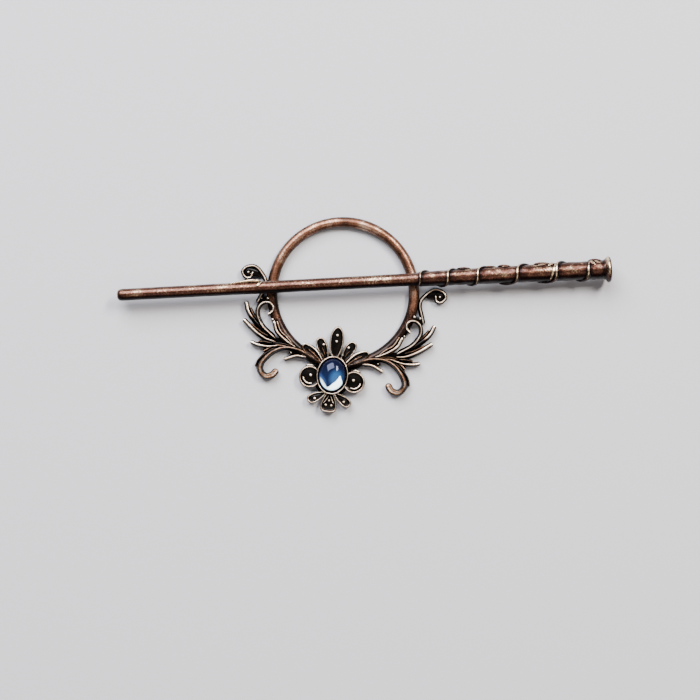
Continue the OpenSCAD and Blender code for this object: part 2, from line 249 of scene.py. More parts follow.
class Surface:
    """The points and faces of one piece, gathered from closed grids, and each point's polish."""

    def __init__(self) -> None:
        """Starts with no points."""
        self.points: list[Array] = []
        self.polish: list[Array] = []
        self.quads: list[NDArray[np.int64]] = []
        self.triangles: list[NDArray[np.int64]] = []
        self.count = 0

    def add(self, rings: Array, polish: Value = 0.0, looped: bool = False) -> None:
        """Adds a closed grid and turns its faces outwards.

        Each ring's last point joins its first. The first and the last ring join each other, or
        each is closed by a fan to its middle. The faces are turned round if the volume that
        they enclose comes out negative.

        Args:
            rings: Points in millimetres, as rows of rings.
            polish: Share of polish, spread over the points.
            looped: Whether the last ring joins the first.
        """
        rows, size = rings.shape[:2]
        index = np.arange(rows * size).reshape(rows, size)
        low, high = (index, np.roll(index, -1, axis=0)) if looped else (index[:-1], index[1:])
        quads = np.stack([low, np.roll(low, -1, axis=1), np.roll(high, -1, axis=1), high],
                         axis=-1).reshape(-1, 4)
        points = rings.reshape(-1, 3)
        shares = np.broadcast_to(polish, rings.shape[:2]).reshape(-1)
        triangles = np.zeros((0, 3), int)
        if not looped:
            first, last = index[0], index[-1]
            middles = np.stack([rings[0].mean(axis=0), rings[-1].mean(axis=0)])
            start = np.full(size, len(points))
            triangles = np.vstack([
                np.stack([np.roll(first, -1), first, start], axis=1),
                np.stack([last, np.roll(last, -1), start + 1], axis=1),
            ])
            shares = np.append(shares, [shares[first].mean(), shares[last].mean()])
            points = np.vstack([points, middles])
        halves = np.vstack([quads[:, [0, 1, 2]], quads[:, [0, 2, 3]], triangles])
        corner = points[halves]
        volume = (corner[:, 0] * np.cross(corner[:, 1], corner[:, 2])).sum()
        if volume < 0:
            quads, triangles = quads[:, ::-1], triangles[:, ::-1]
        self.points.append(points)
        self.polish.append(shares)
        self.quads.append(quads + self.count)
        self.triangles.append(triangles + self.count)
        self.count += len(points)

    def piece(self, name: str, finish: bpy.types.Material) -> bpy.types.Object:
        """Makes the gathered grids one smooth mesh at the origin.

        Args:
            name: Name of the piece.
            finish: Its material.

        Returns:
            The new object.
        """
        points = np.vstack(self.points) * MM
        quads, triangles = np.vstack(self.quads), np.vstack(self.triangles)
        corners = np.concatenate([quads.reshape(-1), triangles.reshape(-1)])
        starts = np.concatenate([
            np.arange(len(quads)) * 4, len(quads) * 4 + np.arange(len(triangles)) * 3])
        mesh = bpy.data.meshes.new(name)
        mesh.vertices.add(len(points))
        mesh.vertices.foreach_set("co", points.astype(np.float32).reshape(-1))
        mesh.loops.add(len(corners))
        mesh.loops.foreach_set("vertex_index", corners.astype(np.int32))
        mesh.polygons.add(len(starts))
        mesh.polygons.foreach_set("loop_start", starts.astype(np.int32))
        mesh.polygons.foreach_set("use_smooth", np.ones(len(starts), bool))
        mesh.update(calc_edges=True)
        layer = mesh.attributes.new("polish", "FLOAT", "POINT")
        layer.data.foreach_set("value", np.concatenate(self.polish).astype(np.float32))
        mesh.materials.append(finish)
        piece = bpy.data.objects.new(name, mesh)
        bpy.context.scene.collection.objects.link(piece)
        return piece


def settle(piece: bpy.types.Object, body: Body, node: Node) -> bpy.types.Object:
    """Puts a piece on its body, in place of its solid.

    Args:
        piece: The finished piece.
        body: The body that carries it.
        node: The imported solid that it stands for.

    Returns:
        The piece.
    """
    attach(piece, body.value)
    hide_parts(node.value)
    LOG.info("%s: %d faces, rides on %s", piece.name, len(piece.data.polygons), body.value)
    return piece


def ball(surface: Surface, at: Array, diameter: float, height: float) -> None:
    """Adds a relief bead: a ball of stacked circles, bright on top and dark where it is sunk.

    Args:
        surface: Where to add it.
        at: Its place in X and Y.
        diameter: Its diameter.
        height: Height of its centre.
    """
    rise = np.linspace(-math.pi / 2, math.pi / 2, 18)[1:-1, None]
    turn = angles(24)[None, :]
    radius = diameter / 2
    rings = grid(at[0] + radius * np.cos(rise) * np.cos(turn),
                 at[1] + radius * np.cos(rise) * np.sin(turn), height + radius * np.sin(rise))
    surface.add(rings, 0.9 * smooth((np.sin(rise) - 0.3) / 0.65))


def ridge(surface: Surface, path: Array, width: Array, low: float, top: Array,
          shine: float = 1.0) -> None:
    """Adds a fine raised line: a half-round bar with its foot sunk in what carries it.

    Across the path the bar's top is half an ellipse, and its foot goes straight down.

    Args:
        surface: Where to add it.
        path: Its middle line in X and Y, one point a row.
        width: Its width at each point.
        low: Height of its foot.
        top: Height of its top at each point.
        shine: Share of polish on its top.
    """
    over = np.linspace(0, math.pi, 13)
    half = width[:, None] / 2
    foot = np.full_like(half, low)
    across = np.concatenate([-half, half * -np.cos(over), half], axis=1)
    height = np.concatenate([foot, top[:, None] - half + half * np.sin(over), foot], axis=1)
    polish = np.concatenate([[0.0], np.sin(over) ** 2 * shine, [0.0]])
    surface.add(stations(path, headings(path), across, height), polish)


def dish(surface: Surface, outline: Callable[[Array], Array], rim_w: float, levels: Pair,
         shine: float = 1.0) -> None:
    """Adds a recessed form with a rounded rim.

    Its rings go up the rim's outer side, over its half-round top, down into a hollow and in to
    the middle of a floor that swells a little.

    Args:
        surface: Where to add it.
        outline: Function from distances inside the rim's middle line to closed outlines.
        rim_w: Width of the rim.
        levels: Heights of the floor and of the rim.
        shine: Share of polish on the rim.
    """
    low, high = levels
    half = rim_w / 2
    over = np.linspace(0, math.pi, 9)
    top = high - half + half * np.sin(over)
    # Distance inside the rim's middle line, height and polish
    inset, height, polish = np.array([
        (-half, 0.0, 0.05),
        (-half, low * 0.5, 0.05),
        *zip(-half * np.cos(over), top, np.sin(over) ** 4.5 * shine),
        (half * 1.1, mix(low, high, 0.25), 0.0),
        (half * 1.6, low, 0.0),
    ]).T
    rings = outline(inset)
    middle = rings[-1].mean(axis=0)
    shrink = np.array([0.85, 0.6, 0.35, 0.12])
    floor = middle + (rings[-1] - middle) * shrink[:, None, None]
    swell = low + (high - low) * 0.25 * (1 - shrink ** 2)
    height = np.concatenate([height, swell])[:, None, None]
    polish = np.concatenate([polish, 0.10 * (1 - shrink)])[:, None]
    surface.add(raised(np.concatenate([rings, floor]), height), polish)


@dataclass(frozen=True)
class Bead:
    """One relief bead.

    at is its place, in shares of the ring's radius on a spray and of the stone's length on the
    rosette. size is its diameter as a share of bead_d. lift is the height of its centre on a
    spray, from 0, the webs' top, to 1, the ring's top. sides are the halves that have it on
    the rosette.
    """

    at: Pair
    size: float
    lift: float = 0.0
    sides: tuple[Side, ...] = BOTH


# The ring

@dataclass
class RingWire:
    """The round wire hoop that the hair is drawn through.

    sides is the number of flats that its solid has. uneven is how much the wire's radius
    wavers, over waves of about uneven_l. worn is the polish on its top, less by low_dark
    towards the hoop's bottom, where the sprays lie, and it varies by patchy, over waves of
    about patchy_l. Away from its top the wire is darkened as painted shade.
    """

    outer_d: float = 46.0
    wire_d: float = 3.2
    sides: int = 12
    uneven: float = 0.035
    uneven_l: float = 9.0
    worn: float = 0.60
    low_dark: float = 0.34
    patchy: float = 0.05
    patchy_l: float = 6.0

    @property
    def radius(self) -> float:
        """Outer radius of the hoop."""
        return self.outer_d / 2

    @property
    def middle_z(self) -> float:
        """Height of the wire's centre, which lies on one of the solid's flats."""
        return self.wire_d / 2 * math.cos(math.pi / self.sides)

    @property
    def top(self) -> float:
        """Height of the wire's top."""
        return self.middle_z + self.wire_d / 2

    def hoop(self, turn: Array, slope: Array, thick: Value) -> Array:
        """Returns circles of wire, of a given radius, carried round the hoop's middle circle."""
        reach = self.radius - self.wire_d / 2 + thick * np.cos(slope)
        return grid(reach * np.cos(turn), reach * np.sin(turn),
                    self.middle_z + thick * np.sin(slope))

    def build(self, finish: bpy.types.Material) -> bpy.types.Object:
        """The hoop, with its back rubbed flat at height 0.

        Its top is rubbed bright, its sides and back are darkened as painted shade, and the hoop
        is darker towards its bottom, where the sprays lie.

        Args:
            finish: The metal.

        Returns:
            The piece.
        """
        turn, slope = angles(400)[:, None], angles(40)[None, :]
        wire = self.wire_d / 2
        true = self.hoop(turn, slope, wire)
        dents = 1 + np.clip(dimples(true, self.uneven_l, 3) / 2, -1, 1)
        rings = self.hoop(turn, slope, wire - self.uneven * dents / 2)
        rings[..., 2] = np.maximum(rings[..., 2], 0.0)
        # Darker towards the hoop's bottom, where the sprays lie.
        between = smooth(0.35 - np.sin(turn))
        polish = (self.worn - self.low_dark * between
                  + self.patchy * dimples(true, self.patchy_l, 4))
        # Painted shade: the polish falls away from the wire's top, to a tenth on its sides and back.
        polish = polish * mix(0.1, 1.0, smooth((np.sin(slope) - 0.05) / 0.75))
        surface = Surface()
        surface.add(rings, np.clip(polish, 0, 1), looped=True)
        piece = surface.piece("ring_wire", finish)
        return settle(piece, Body.RING, Node.CASTING)


@dataclass(frozen=True)
class Strand:
    """One leaf or tendril of a spray, from its root to its blunt tip.

    line holds the knots of its middle line as shares of the ring's radius. crest and foot are
    its widths at root and tip as shares of the spray's strand_w. lift is the height of its
    crest at root and tip, from 0, the spray's crest_h, to 1, which clears the ring. groove is
    the depth of a channel along its crest as a share of the crest's width. shine is how far
    its crest is rubbed, dark the share of its length from the root that isn't, and wide how
    many times wider the rubbed line is at the tip.
    """

    line: Line
    crest: Pair
    foot: Pair
    lift: Pair
    groove: float = 0.0
    shine: float = 1.0
    dark: float = 0.0
    wide: float = 1.0

    @property
    def seed(self) -> int:
        """Start of its random waves, taken from its root's place."""
        return int(abs(self.line[0][0]) * 1000)


HOOK = Strand(
    ((0.28, -0.89), (0.47, -0.81), (0.66, -0.80), (0.81, -0.87), (0.92, -0.995),
     (0.955, -1.09), (0.93, -1.165), (0.87, -1.205), (0.79, -1.185), (0.75, -1.135)),
    (0.30, 1.00), (0.85, 1.05), (1.0, 0.2), groove=0.14, shine=0.72, wide=1.6)
TWIG = Strand(((0.37, -0.89), (0.50, -0.89), (0.64, -0.95)), (0.28, 0.50), (0.80, 0.55), (0.6, 0))
BROW = Strand(((0.62, -0.785), (0.79, -0.79), (0.93, -0.88)), (0.22, 0.26), (0.80, 0.50),
              (0.6, 0.1), shine=0.7)
CURL = Strand(
    ((0.80, -0.70), (0.98, -0.57), (1.06, -0.455), (1.08, -0.365), (1.052, -0.287),
     (0.992, -0.245), (0.925, -0.25), (0.882, -0.294), (0.884, -0.35), (0.93, -0.396)),
    (0.30, 0.36), (0.80, 0.45), (0.9, 1.0))
LEAF_A = Strand(((0.99, -0.60), (1.12, -0.48), (1.20, -0.39), (1.24, -0.29)), (0.30, 0.62),
                (1.00, 0.70), (0.4, 0), dark=0.52)
LEAF_B = Strand(((0.80, -0.74), (0.93, -0.715), (1.09, -0.63), (1.23, -0.52)), (0.26, 0.62),
                (0.95, 0.70), (0.8, 0))
LEAF_C = Strand(((0.76, -0.79), (0.90, -0.815), (1.02, -0.81), (1.10, -0.79)), (0.24, 0.55),
                (0.80, 0.62), (0.8, 0))
LEAF_D = Strand(((0.52, -0.78), (0.66, -0.71), (0.79, -0.61), (0.84, -0.50)), (0.26, 0.60),
                (0.80, 0.68), (1.0, 0.9))
LEAF_E = Strand(((0.57, -0.745), (0.66, -0.66), (0.74, -0.60), (0.80, -0.49)), (0.24, 0.34),
                (0.60, 0.42), (1.0, 1.0), shine=0.8)
TENDRIL = Strand(
    ((1.10, -0.27), (1.06, -0.16), (1.02, -0.04), (1.04, 0.06), (1.14, 0.175), (1.22, 0.205),
     (1.31, 0.17), (1.34, 0.105), (1.29, 0.045), (1.23, 0.05), (1.21, 0.11)), (0.34, 0.34),
    (0.70, 0.45), (0, 0))

# Veins that only the casting's relief has, between and beside the leaves
HOOK_VEIN = Strand(((0.78, -0.815), (0.90, -0.90), (0.985, -1.00), (1.015, -1.09)),
                   (0.16, 0.20), (0.30, 0.30), (0.2, -0.3), shine=0.45)
BROW_VEIN = Strand(((0.56, -0.775), (0.70, -0.755), (0.82, -0.765)), (0.16, 0.16), (0.34, 0.30),
                   (0.5, 0.2), shine=0.45)
LEAF_A_VEIN = Strand(((1.05, -0.50), (1.13, -0.42), (1.175, -0.345)), (0.16, 0.20), (0.60, 0.34),
                     (0, -0.4), shine=0.5)
LEAF_B_VEIN = Strand(((0.90, -0.68), (1.00, -0.64), (1.14, -0.553)), (0.16, 0.22), (0.60, 0.34),
                     (0.3, -0.4), shine=0.5)
LEAF_C_VEIN = Strand(((0.84, -0.765), (0.94, -0.76), (1.01, -0.768)), (0.16, 0.26), (0.60, 0.36),
                     (0.4, -0.3), shine=0.5)
LEAF_D_VEIN = Strand(((0.64, -0.745), (0.75, -0.675), (0.83, -0.585)), (0.14, 0.16),
                     (0.40, 0.30), (0.3, 0.1), shine=0.5)
STRANDS = (HOOK, TWIG, BROW, CURL, LEAF_A, LEAF_B, LEAF_C, LEAF_D, LEAF_E, TENDRIL, HOOK_VEIN,
           BROW_VEIN, LEAF_A_VEIN, LEAF_B_VEIN, LEAF_C_VEIN, LEAF_D_VEIN)

# Half of a strand's section, from the crest out: angles over its arc, shares of the way down
# its hollow flank, and levels of its upright foot as shares of the height of the flank's end
ARC = np.radians(np.linspace(0, 110, 9))[None, :]
FLANK = np.linspace(0, 1, 7)[None, 1:]
FOOT = np.array([[0.75, 0.35, 0.0]])


@dataclass(frozen=True)
class Plate:
    """A web: a flat plate round two circles, which fills a spray between its strands.

    first and last are the circles' middles as shares of the ring's radius, and first_d and
    last_d their diameters as shares of strand_w.
    """

    first: Pair
    first_d: float
    last: Pair
    last_d: float


WEBS = (
    Plate((0.44, -0.85), 0.9, (0.58, -0.86), 0.6),
    Plate((0.74, -0.75), 1.2, (0.98, -0.66), 1.0),
    Plate((0.80, -0.79), 0.9, (0.93, -0.79), 0.7),
    Plate((0.98, -0.22), 1.0, (1.06, -0.24), 1.1),
    Plate((1.13, 0.11), 1.0, (1.265, 0.12), 1.3),
)

# A web's rounded edge: share of its outline and share of its height, from the foot to the top
WEB_EDGE = ((1.0, 0.0), (1.0, 0.8), (0.95, 0.93), (0.85, 1.0), (0.4, 1.0))

SPRAY_BEADS = (
    Bead((0.97, -0.19), 0.75, 0.5),
    Bead((1.05, -0.20), 0.65, 0.1),
    Bead((0.87, -0.46), 0.65, 0.6),
    Bead((0.575, -0.86), 0.60),
    Bead((1.265, 0.115), 0.70),
)


@dataclass
class Spray:
    """One side's leaves, hook and curling tendrils, cast in one with the ring.

    Widths wander by the share uneven and polish by the share patchy, over waves whose longest
    are uneven_l and patchy_l if a strand is run_l long.
    """

    ring: RingWire
    side: Side
    strand_w: float = 2.0
    crest_h: float = 2.4
    crest_rise: float = 0.6
    web_h: float = 1.5
    bead_d: float = 1.3
    steps: int = 12
    run_l: float = 30.0
    uneven: float = 0.05
    uneven_l: float = 12.0
    patchy: float = 0.08
    patchy_l: float = 6.0

    @property
    def over_h(self) -> float:
        """Height of a crest that clears the ring."""
        return self.ring.top + self.crest_rise

    def place(self, shares: Pair | Line) -> Array:
        """Returns places in X and Y on this side from shares of the ring's radius."""
        return np.asarray(shares, float) * self.ring.radius * np.array([self.side.value, 1.0])

    def course(self, row: Strand) -> tuple[Array, Array, Array, Array]:
        """A strand's middle line, carried on straight past its last knot for its round tip.

        Past that knot what is left of the width shrinks as a quarter of an ellipse, and over
        the first points it grows from a blunt root.

        Args:
            row: The strand.

        Returns:
            Points, unit directions, share of the way from root to last knot, and share of the
            width that is left, the last two as columns.
        """
        path = through(self.place(row.line), self.steps)
        head = headings(path)
        round_off = np.radians(np.linspace(0, 86, 8))[1:]
        reach = row.crest[1] * self.strand_w / 2 * np.sin(round_off)
        share = np.append(np.linspace(0, 1, len(path)), np.ones(len(reach)))
        left = np.append(np.ones(len(path)), np.cos(round_off))
        left = left * mix(0.4, 1.0, smooth(np.arange(len(left)) / 3))
        path = np.vstack([path, path[-1] + head[-1] * reach[:, None]])
        head = np.vstack([head, np.repeat(head[-1:], len(reach), axis=0)])
        return path, head, share[:, None], left[:, None]

    def section(self, row: Strand, share: Array, left: Array) -> tuple[Array, Array]:
        """Half sections: a round crest over a hollow flank and a wider, upright foot.

        The crest is an arc of 110 degrees, and the flank falls with the square of what is left
        of its way. Widths swell from root to tip. The groove is a bell curve along the crest.

        Args:
            row: The strand.
            share: Share of the way from root to last knot, as a column.
            left: Share of the width that is left, as a column.

        Returns:
            Places across the strand and heights, from the crest out.
        """
        wander = 1 + self.uneven * waver(share * self.run_l, self.uneven_l, row.seed)
        crest = mix(*row.crest, smooth(share)) * self.strand_w * left * wander
        foot = np.maximum(mix(*row.foot, share) * self.strand_w * left, crest * 1.02)
        high = mix(self.crest_h, self.over_h, mix(*row.lift, share)) - crest / 2 * (1 - left)
        half = crest / 2
        arc_x, arc_z = half * np.sin(ARC), high - half * (1 - np.cos(ARC))
        end_x, end_z = arc_x[:, -1:], arc_z[:, -1:]
        low = np.minimum(self.web_h, end_z - 0.05)
        flank_x = mix(end_x, np.maximum(foot / 2, end_x), FLANK ** 1.4)
        flank_z = low + (end_z - low) * (1 - FLANK) ** 2
        groove = bell(arc_x, 0.0, half * 0.35) * row.groove * crest * smooth(share * 1.6 - 0.5)
        across = np.concatenate([arc_x, flank_x, flank_x[:, -1:] + 0 * FOOT], axis=1)
        return across, np.concatenate([arc_z - groove, flank_z, low * FOOT], axis=1)

    def rub(self, row: Strand, share: Array) -> Array:
        """Polish on half sections: a power of the cosine over the arc, and none on the foot.

        A higher power gives a finer line. It is fine from the root on, finest a third of the
        way along, and fills the crest at the tip.

        Args:
            row: The strand.
            share: Share of the way from root to last knot, as a column.

        Returns:
            Shares of polish, from the crest out.
        """
        keen = mix(9.5, 5.5, smooth(share)) + 3.0 * np.sin(math.pi * share)
        keen = keen / mix(1.0, row.wide, smooth(share * 1.5 - 0.3))
        patch = waver(share * self.run_l, self.patchy_l, row.seed + 1)
        worn = row.shine * (1 + self.patchy * patch)
        worn = worn * mix(0.15, 1.0, smooth((share - row.dark) / 0.25 + 1))
        shine = [np.cos(ARC * 0.75) ** keen * worn, (1 - FLANK) ** 3 * 0.02 * worn, 0 * worn * FOOT]
        return np.clip(np.concatenate(shine, axis=1), 0, 1)

    def strand(self, surface: Surface, row: Strand) -> None:
        """Adds a strand: its half sections, mirrored about the crest and carried along.

        Args:
            surface: Where to add it.
            row: The strand.
        """
        path, head, share, left = self.course(row)
        across, height = self.section(row, share, left)
        rings = stations(path, head, mirrored(across, -1), mirrored(height))
        surface.add(rings, mirrored(self.rub(row, share)))

    def web(self, surface: Surface, row: Plate) -> None:
        """Adds a web, whose outline shrinks to its middle over the rounded edge.

        A point of the outline lies on the circle that is further out in its own direction.

        Args:
            surface: Where to add it.
            row: The web.
        """
        first, last = self.place(row.first), self.place(row.last)
        first_r, last_r = row.first_d * self.strand_w / 2, row.last_d * self.strand_w / 2
        way = circle(48)
        on_last = (way @ last + last_r > way @ first + first_r)[:, None]
        outline = np.where(on_last, last + way * last_r, first + way * first_r)
        middle = (first + last) / 2
        shrink, level = np.array(WEB_EDGE).T[..., None, None]
        surface.add(raised(middle + (outline - middle) * shrink, level * self.web_h))

    def build(self, finish: bpy.types.Material) -> bpy.types.Object:
        """Strands, webs and beads as one piece.

        Args:
            finish: The metal.

        Returns:
            The piece.
        """
        surface = Surface()
        for row in STRANDS:
            self.strand(surface, row)
        for row in WEBS:
            self.web(surface, row)
        for row in SPRAY_BEADS:
            height = mix(self.web_h, self.ring.top, row.lift)
            ball(surface, self.place(row.at), row.size * self.bead_d, height)
        piece = surface.piece(f"spray_{self.side.name.lower()}", finish)
        return settle(piece, Body.RING, Node.CASTING)


# The rosette and its stone

@dataclass
class Cabochon:
    """The oval stone: a short upright edge under a dome.

    out is how far its middle lies outside the ring. Its foot is narrower by the share bevel,
    and has its full width from bevel_h up.
    """

    ring: RingWire
    length: float = 10.0
    width: float = 8.0
    rise: float = 2.7
    out: float = 1.9
    edge: float = 0.4
    gap: float = 0.06
    seat_z: float = 3.3
    bevel: float = 0.96
    bevel_h: float = 0.05

    @property
    def centre(self) -> Array:
        """The stone's middle in X and Y."""
        return np.array([0.0, -self.ring.radius - self.out])

    def build(self, finish: bpy.types.Material) -> bpy.types.Object:
        """An ellipse that shrinks with the cosine and rises with the sine of one angle.

        Args:
            finish: The glass.

        Returns:
            The piece.
        """
        lift = np.radians(np.linspace(0, 89, 40))[1:]
        shrink = np.concatenate([[self.bevel, 1.0, 1.0], np.cos(lift)])[:, None]
        height = np.concatenate([
            [0.0, self.bevel_h, self.edge], self.edge + self.rise * np.sin(lift)])[:, None]
        turn = angles(96)[None, :]
        surface = Surface()
        surface.add(grid(self.centre[0] + self.width / 2 * shrink * np.cos(turn),
                         self.centre[1] + self.length / 2 * shrink * np.sin(turn),
                         self.seat_z + self.gap + height), 1.0)
        piece = surface.piece("glass_cabochon", finish)
        return settle(piece, Body.RING, Node.STONE)


@dataclass(frozen=True)
class Petal:
    """One petal about the stone, in shares of the stone's length.

    root is where it starts, turn its direction from straight up in degrees, narrow the share
    of its width at the root, power how blunt its outline is, and lift the height of its rim
    from 0 to 1, which clears the ring.
    """

    root: Pair
    turn: float
    length: float
    width: float
    narrow: float
    power: float
    lift: float = 0.0
    sides: tuple[Side, ...] = BOTH
    shine: float = 1.0


PETALS = (
    Petal((0, 0.50), 0, 0.95, 0.43, 0.72, 1.10, sides=MIDDLE),
    Petal((0.23, 0.44), 26, 0.68, 0.35, 0.50, 0.85),
    Petal((0.33, 0.40), 59, 0.75, 0.30, 0.85, 0.90, lift=1.0, shine=0.45),
    Petal((0.15, -0.55), 121, 0.55, 0.33, 0.35, 0.80),
    Petal((0, -0.50), 180, 0.60, 0.57, 0.36, 0.55, sides=MIDDLE),
)

ROSETTE_BEADS = (
    Bead((0, 1.21), 0.85, sides=MIDDLE),
    Bead((0, 1.02), 0.85, sides=MIDDLE),
    Bead((0.38, 0.88), 0.80),
    Bead((0.22, 0.64), 0.80),
    Bead((0.65, -0.08), 1.00),
    Bead((0.44, -0.76), 0.85),
    Bead((0.085, -0.91), 0.75),
    Bead((0, -0.77), 0.75, sides=MIDDLE),
)


@dataclass(frozen=True)
class Arc:
    """A bar about a volute's middle.

    radius is a share of the volute's, and start and end are angles in degrees.
    """

    radius: float
    start: float
    end: float


@dataclass(frozen=True)
class Vein:
    """A fine raised line about the stone, in shares of its length.

    width is its widest as a share of the rim's, high its height from 0, the petals' floor, to
    1, their rim, and lift raises it over the ring as a petal's does.
    """

    line: Line
    width: float
    high: float
    lift: float
    shine: float


VEINS = (
    # The curled upper edge of the outer petals, with two finer lines below it
    Vein(((0.36, 0.42), (0.56, 0.66), (0.78, 0.80), (0.95, 0.83), (1.00, 0.76)), 1.1, 1.1, 1.0, 1.0),
    Vein(((0.42, 0.38), (0.62, 0.56), (0.82, 0.69)), 0.5, 0.75, 1.0, 0.6),
    Vein(((0.44, 0.32), (0.66, 0.47), (0.88, 0.58)), 0.5, 0.7, 1.0, 0.5),
    # Creases that run out to the corners of the bottom fan
    Vein(((0.03, -0.62), (0.08, -0.74), (0.16, -0.86)), 0.5, 0.7, 0.0, 0.95),
    # The crook inside the upper side petals
    Vein(((0.30, 0.58), (0.36, 0.70), (0.42, 0.78)), 0.45, 0.6, 0.0, 0.5),
)


@dataclass
class Rosette:
    """Petals, volutes, beads and the bezel about the stone, cast in one with the ring.

    bead_up is how far a bead's centre lies over the petals' floor. bezel_w and collar_w are
    measured from the stone's edge, and ledge is how far the ledge inside the lip lies below
    it. volute_at and volute_r are shares of the stone's length. arcs are the crescent inside
    each volute and the short bar above it. chamfer is the collar's.
    """

    ring: RingWire
    stone: Cabochon
    rim_w: float = 0.6
    floor_h: float = 1.9
    rim_h: float = 2.8
    crest_rise: float = 0.6
    bead_d: float = 1.3
    bead_up: float = 0.15
    bezel_w: float = 0.75
    bezel_h: float = 4.4
    collar_w: float = 1.8
    collar_h: float = 1.5
    chamfer: float = 0.15
    lip_w: float = 0.38
    ledge: float = 0.42
    seat_gap: float = 0.02
    volute_at: Pair = (0.67, -0.13)
    volute_r: float = 0.30
    arcs: tuple[Arc, ...] = (Arc(0.66, -5, -115), Arc(1.18, 103, 62))

    def place(self, shares: Pair | Line, side: Side) -> Array:
        """Returns places in X and Y from shares of the stone's length from its middle."""
        return self.stone.centre + np.asarray(shares, float) * self.stone.length * [side.value, 1]

    def levels(self, lift: float) -> Pair:
        """Returns the heights of a floor and its rim at a lift from 0 to 1, over the ring."""
        over = self.ring.top + self.crest_rise
        return mix(self.floor_h, self.ring.top, lift * 0.6), mix(self.rim_h, over, lift)

    def petal(self, surface: Surface, row: Petal, side: Side) -> None:
        """Adds a petal: a dish whose half width follows a power of the sine of one angle.

        Along the petal the same angle's cosine gives the place from root to tip, and a line
        further in has its width and its length cut by as much.

        Args:
            surface: Where to add it.
            row: The petal.
            side: The half that it is on.
        """
        turn = angles(96)[None, :]
        length, width = row.length * self.stone.length, row.width * self.stone.length
        angle = math.radians(row.turn)
        out = np.array([math.sin(angle), math.cos(angle)])
        over = np.array([out[1], -out[0]])

        def outline(inset: Array) -> Array:
            """The petal's outlines inside the rim's middle line.

            Args:
                inset: Their distances inside that line, below 0 outside it.

            Returns:
                Points in X and Y, a row for each outline.
            """
            inset = inset[:, None]
            up = (1 - np.cos(turn)) / 2
            blunt = np.sign(np.sin(turn)) * np.abs(np.sin(turn)) ** row.power
            x = blunt * mix(row.narrow, 1, up) * (width / 2 - inset)
            y = inset + (length - 2 * inset) * up
            flat = x[..., None] * over + y[..., None] * out
            return self.place(row.root, side) + flat * [side.value, 1]

        dish(surface, outline, self.rim_w, self.levels(row.lift), row.shine)

    def arc(self, surface: Surface, row: Arc, side: Side) -> None:
        """Adds a bar along an arc, widest and highest halfway, by the sine of its share.

        Args:
            surface: Where to add it.
            row: The arc.
            side: The half that it is on.
        """
        share = np.linspace(0, 1, 40)
        angle = np.radians(mix(row.start, row.end, share))
        radius = row.radius * self.volute_r * self.stone.length
        way = np.stack([np.cos(angle) * side.value, np.sin(angle)], axis=1)
        path = self.place(self.volute_at, side) + radius * way
        swell = np.sin(math.pi * share)
        top = mix(self.floor_h, self.rim_h, 0.45 + 0.35 * swell)
        ridge(surface, path, self.rim_w * (0.35 + 0.75 * swell), 0.0, top)

    def volute(self, surface: Surface, side: Side) -> None:
        """Adds a round dish with its crescent and its bar.

        Args:
            surface: Where to add it.
            side: The half that it is on.
        """
        centre, way = self.place(self.volute_at, side), circle(120)
        radius = self.volute_r * self.stone.length

        def outline(inset: Array) -> Array:
            """Returns the circles that lie the given distances inside the rim's middle line."""
            return centre + way * (radius - inset)[:, None, None]

        dish(surface, outline, self.rim_w, self.levels(0.0))
        for row in self.arcs:
            self.arc(surface, row, side)

    def vein(self, surface: Surface, row: Vein, side: Side) -> None:
        """Adds a fine line that swells from its root and narrows again to its tip.

        Its width follows powers of the sine of its share.

        Args:
            surface: Where to add it.
            row: The vein.
            side: The half that it is on.
        """
        path = through(self.place(row.line, side), 14)
        share = np.linspace(0, 1, len(path))
        width = row.width * self.rim_w * (0.3 + 0.7 * np.sin(math.pi * share ** 0.8) ** 0.7)
        top = mix(*self.levels(row.lift), row.high)
        ridge(surface, path, width, 0.5, np.full(len(path), top), row.shine)

    def bezel(self) -> Surface:
        """The setting's wall: a rounded lip over a lower ledge, carried round the stone's ellipse.

        The profile's distances run along the ellipse's outward normal. The ledge keeps a dark
        line between lip and stone, and a flat oval under the stone closes the back.

        Returns:
            The wall and the seat.
        """
        stone, ledge_h = self.stone, self.bezel_h - self.ledge
        way = circle(180)
        half = np.array([stone.width, stone.length]) / 2
        normal = way / half
        normal /= np.linalg.norm(normal, axis=1, keepdims=True)
        over = np.linspace(0, math.pi, 11)
        lip_r = self.lip_w / 2
        lip_x = self.bezel_w - lip_r * (1 + np.cos(over))
        lip_z = self.bezel_h - lip_r * (1 - np.sin(over))
        # Distance from the stone's edge, height and polish
        out, height, polish = np.array([
            (stone.gap, 0.0, 0.0),
            (stone.gap, ledge_h, 0.0),
            (lip_x[0] - 0.05, ledge_h, 0.0),
            *zip(lip_x, lip_z, 0.9 * np.sin(over) ** 1.7),
            (self.bezel_w * 1.03, stone.seat_z, 0.15),
            (self.bezel_w * 1.15, self.collar_h, 0.0),
            (self.collar_w - self.chamfer, self.collar_h, 0.0),
            (self.collar_w, self.collar_h - self.chamfer, 0.1),
            (self.collar_w, 0.0, 0.0),
        ]).T
        path = stone.centre + way * half
        flat = path[:, None, :] + normal[:, None, :] * out[:, None]
        surface = Surface()
        surface.add(raised(flat, height[:, None]), polish, looped=True)
        shrink = np.array([1.0, 1.0, 0.5])[:, None, None]
        level = np.array([0.0, stone.seat_z, stone.seat_z])[:, None, None]
        surface.add(raised(stone.centre + way * (half - self.seat_gap) * shrink, level))
        return surface

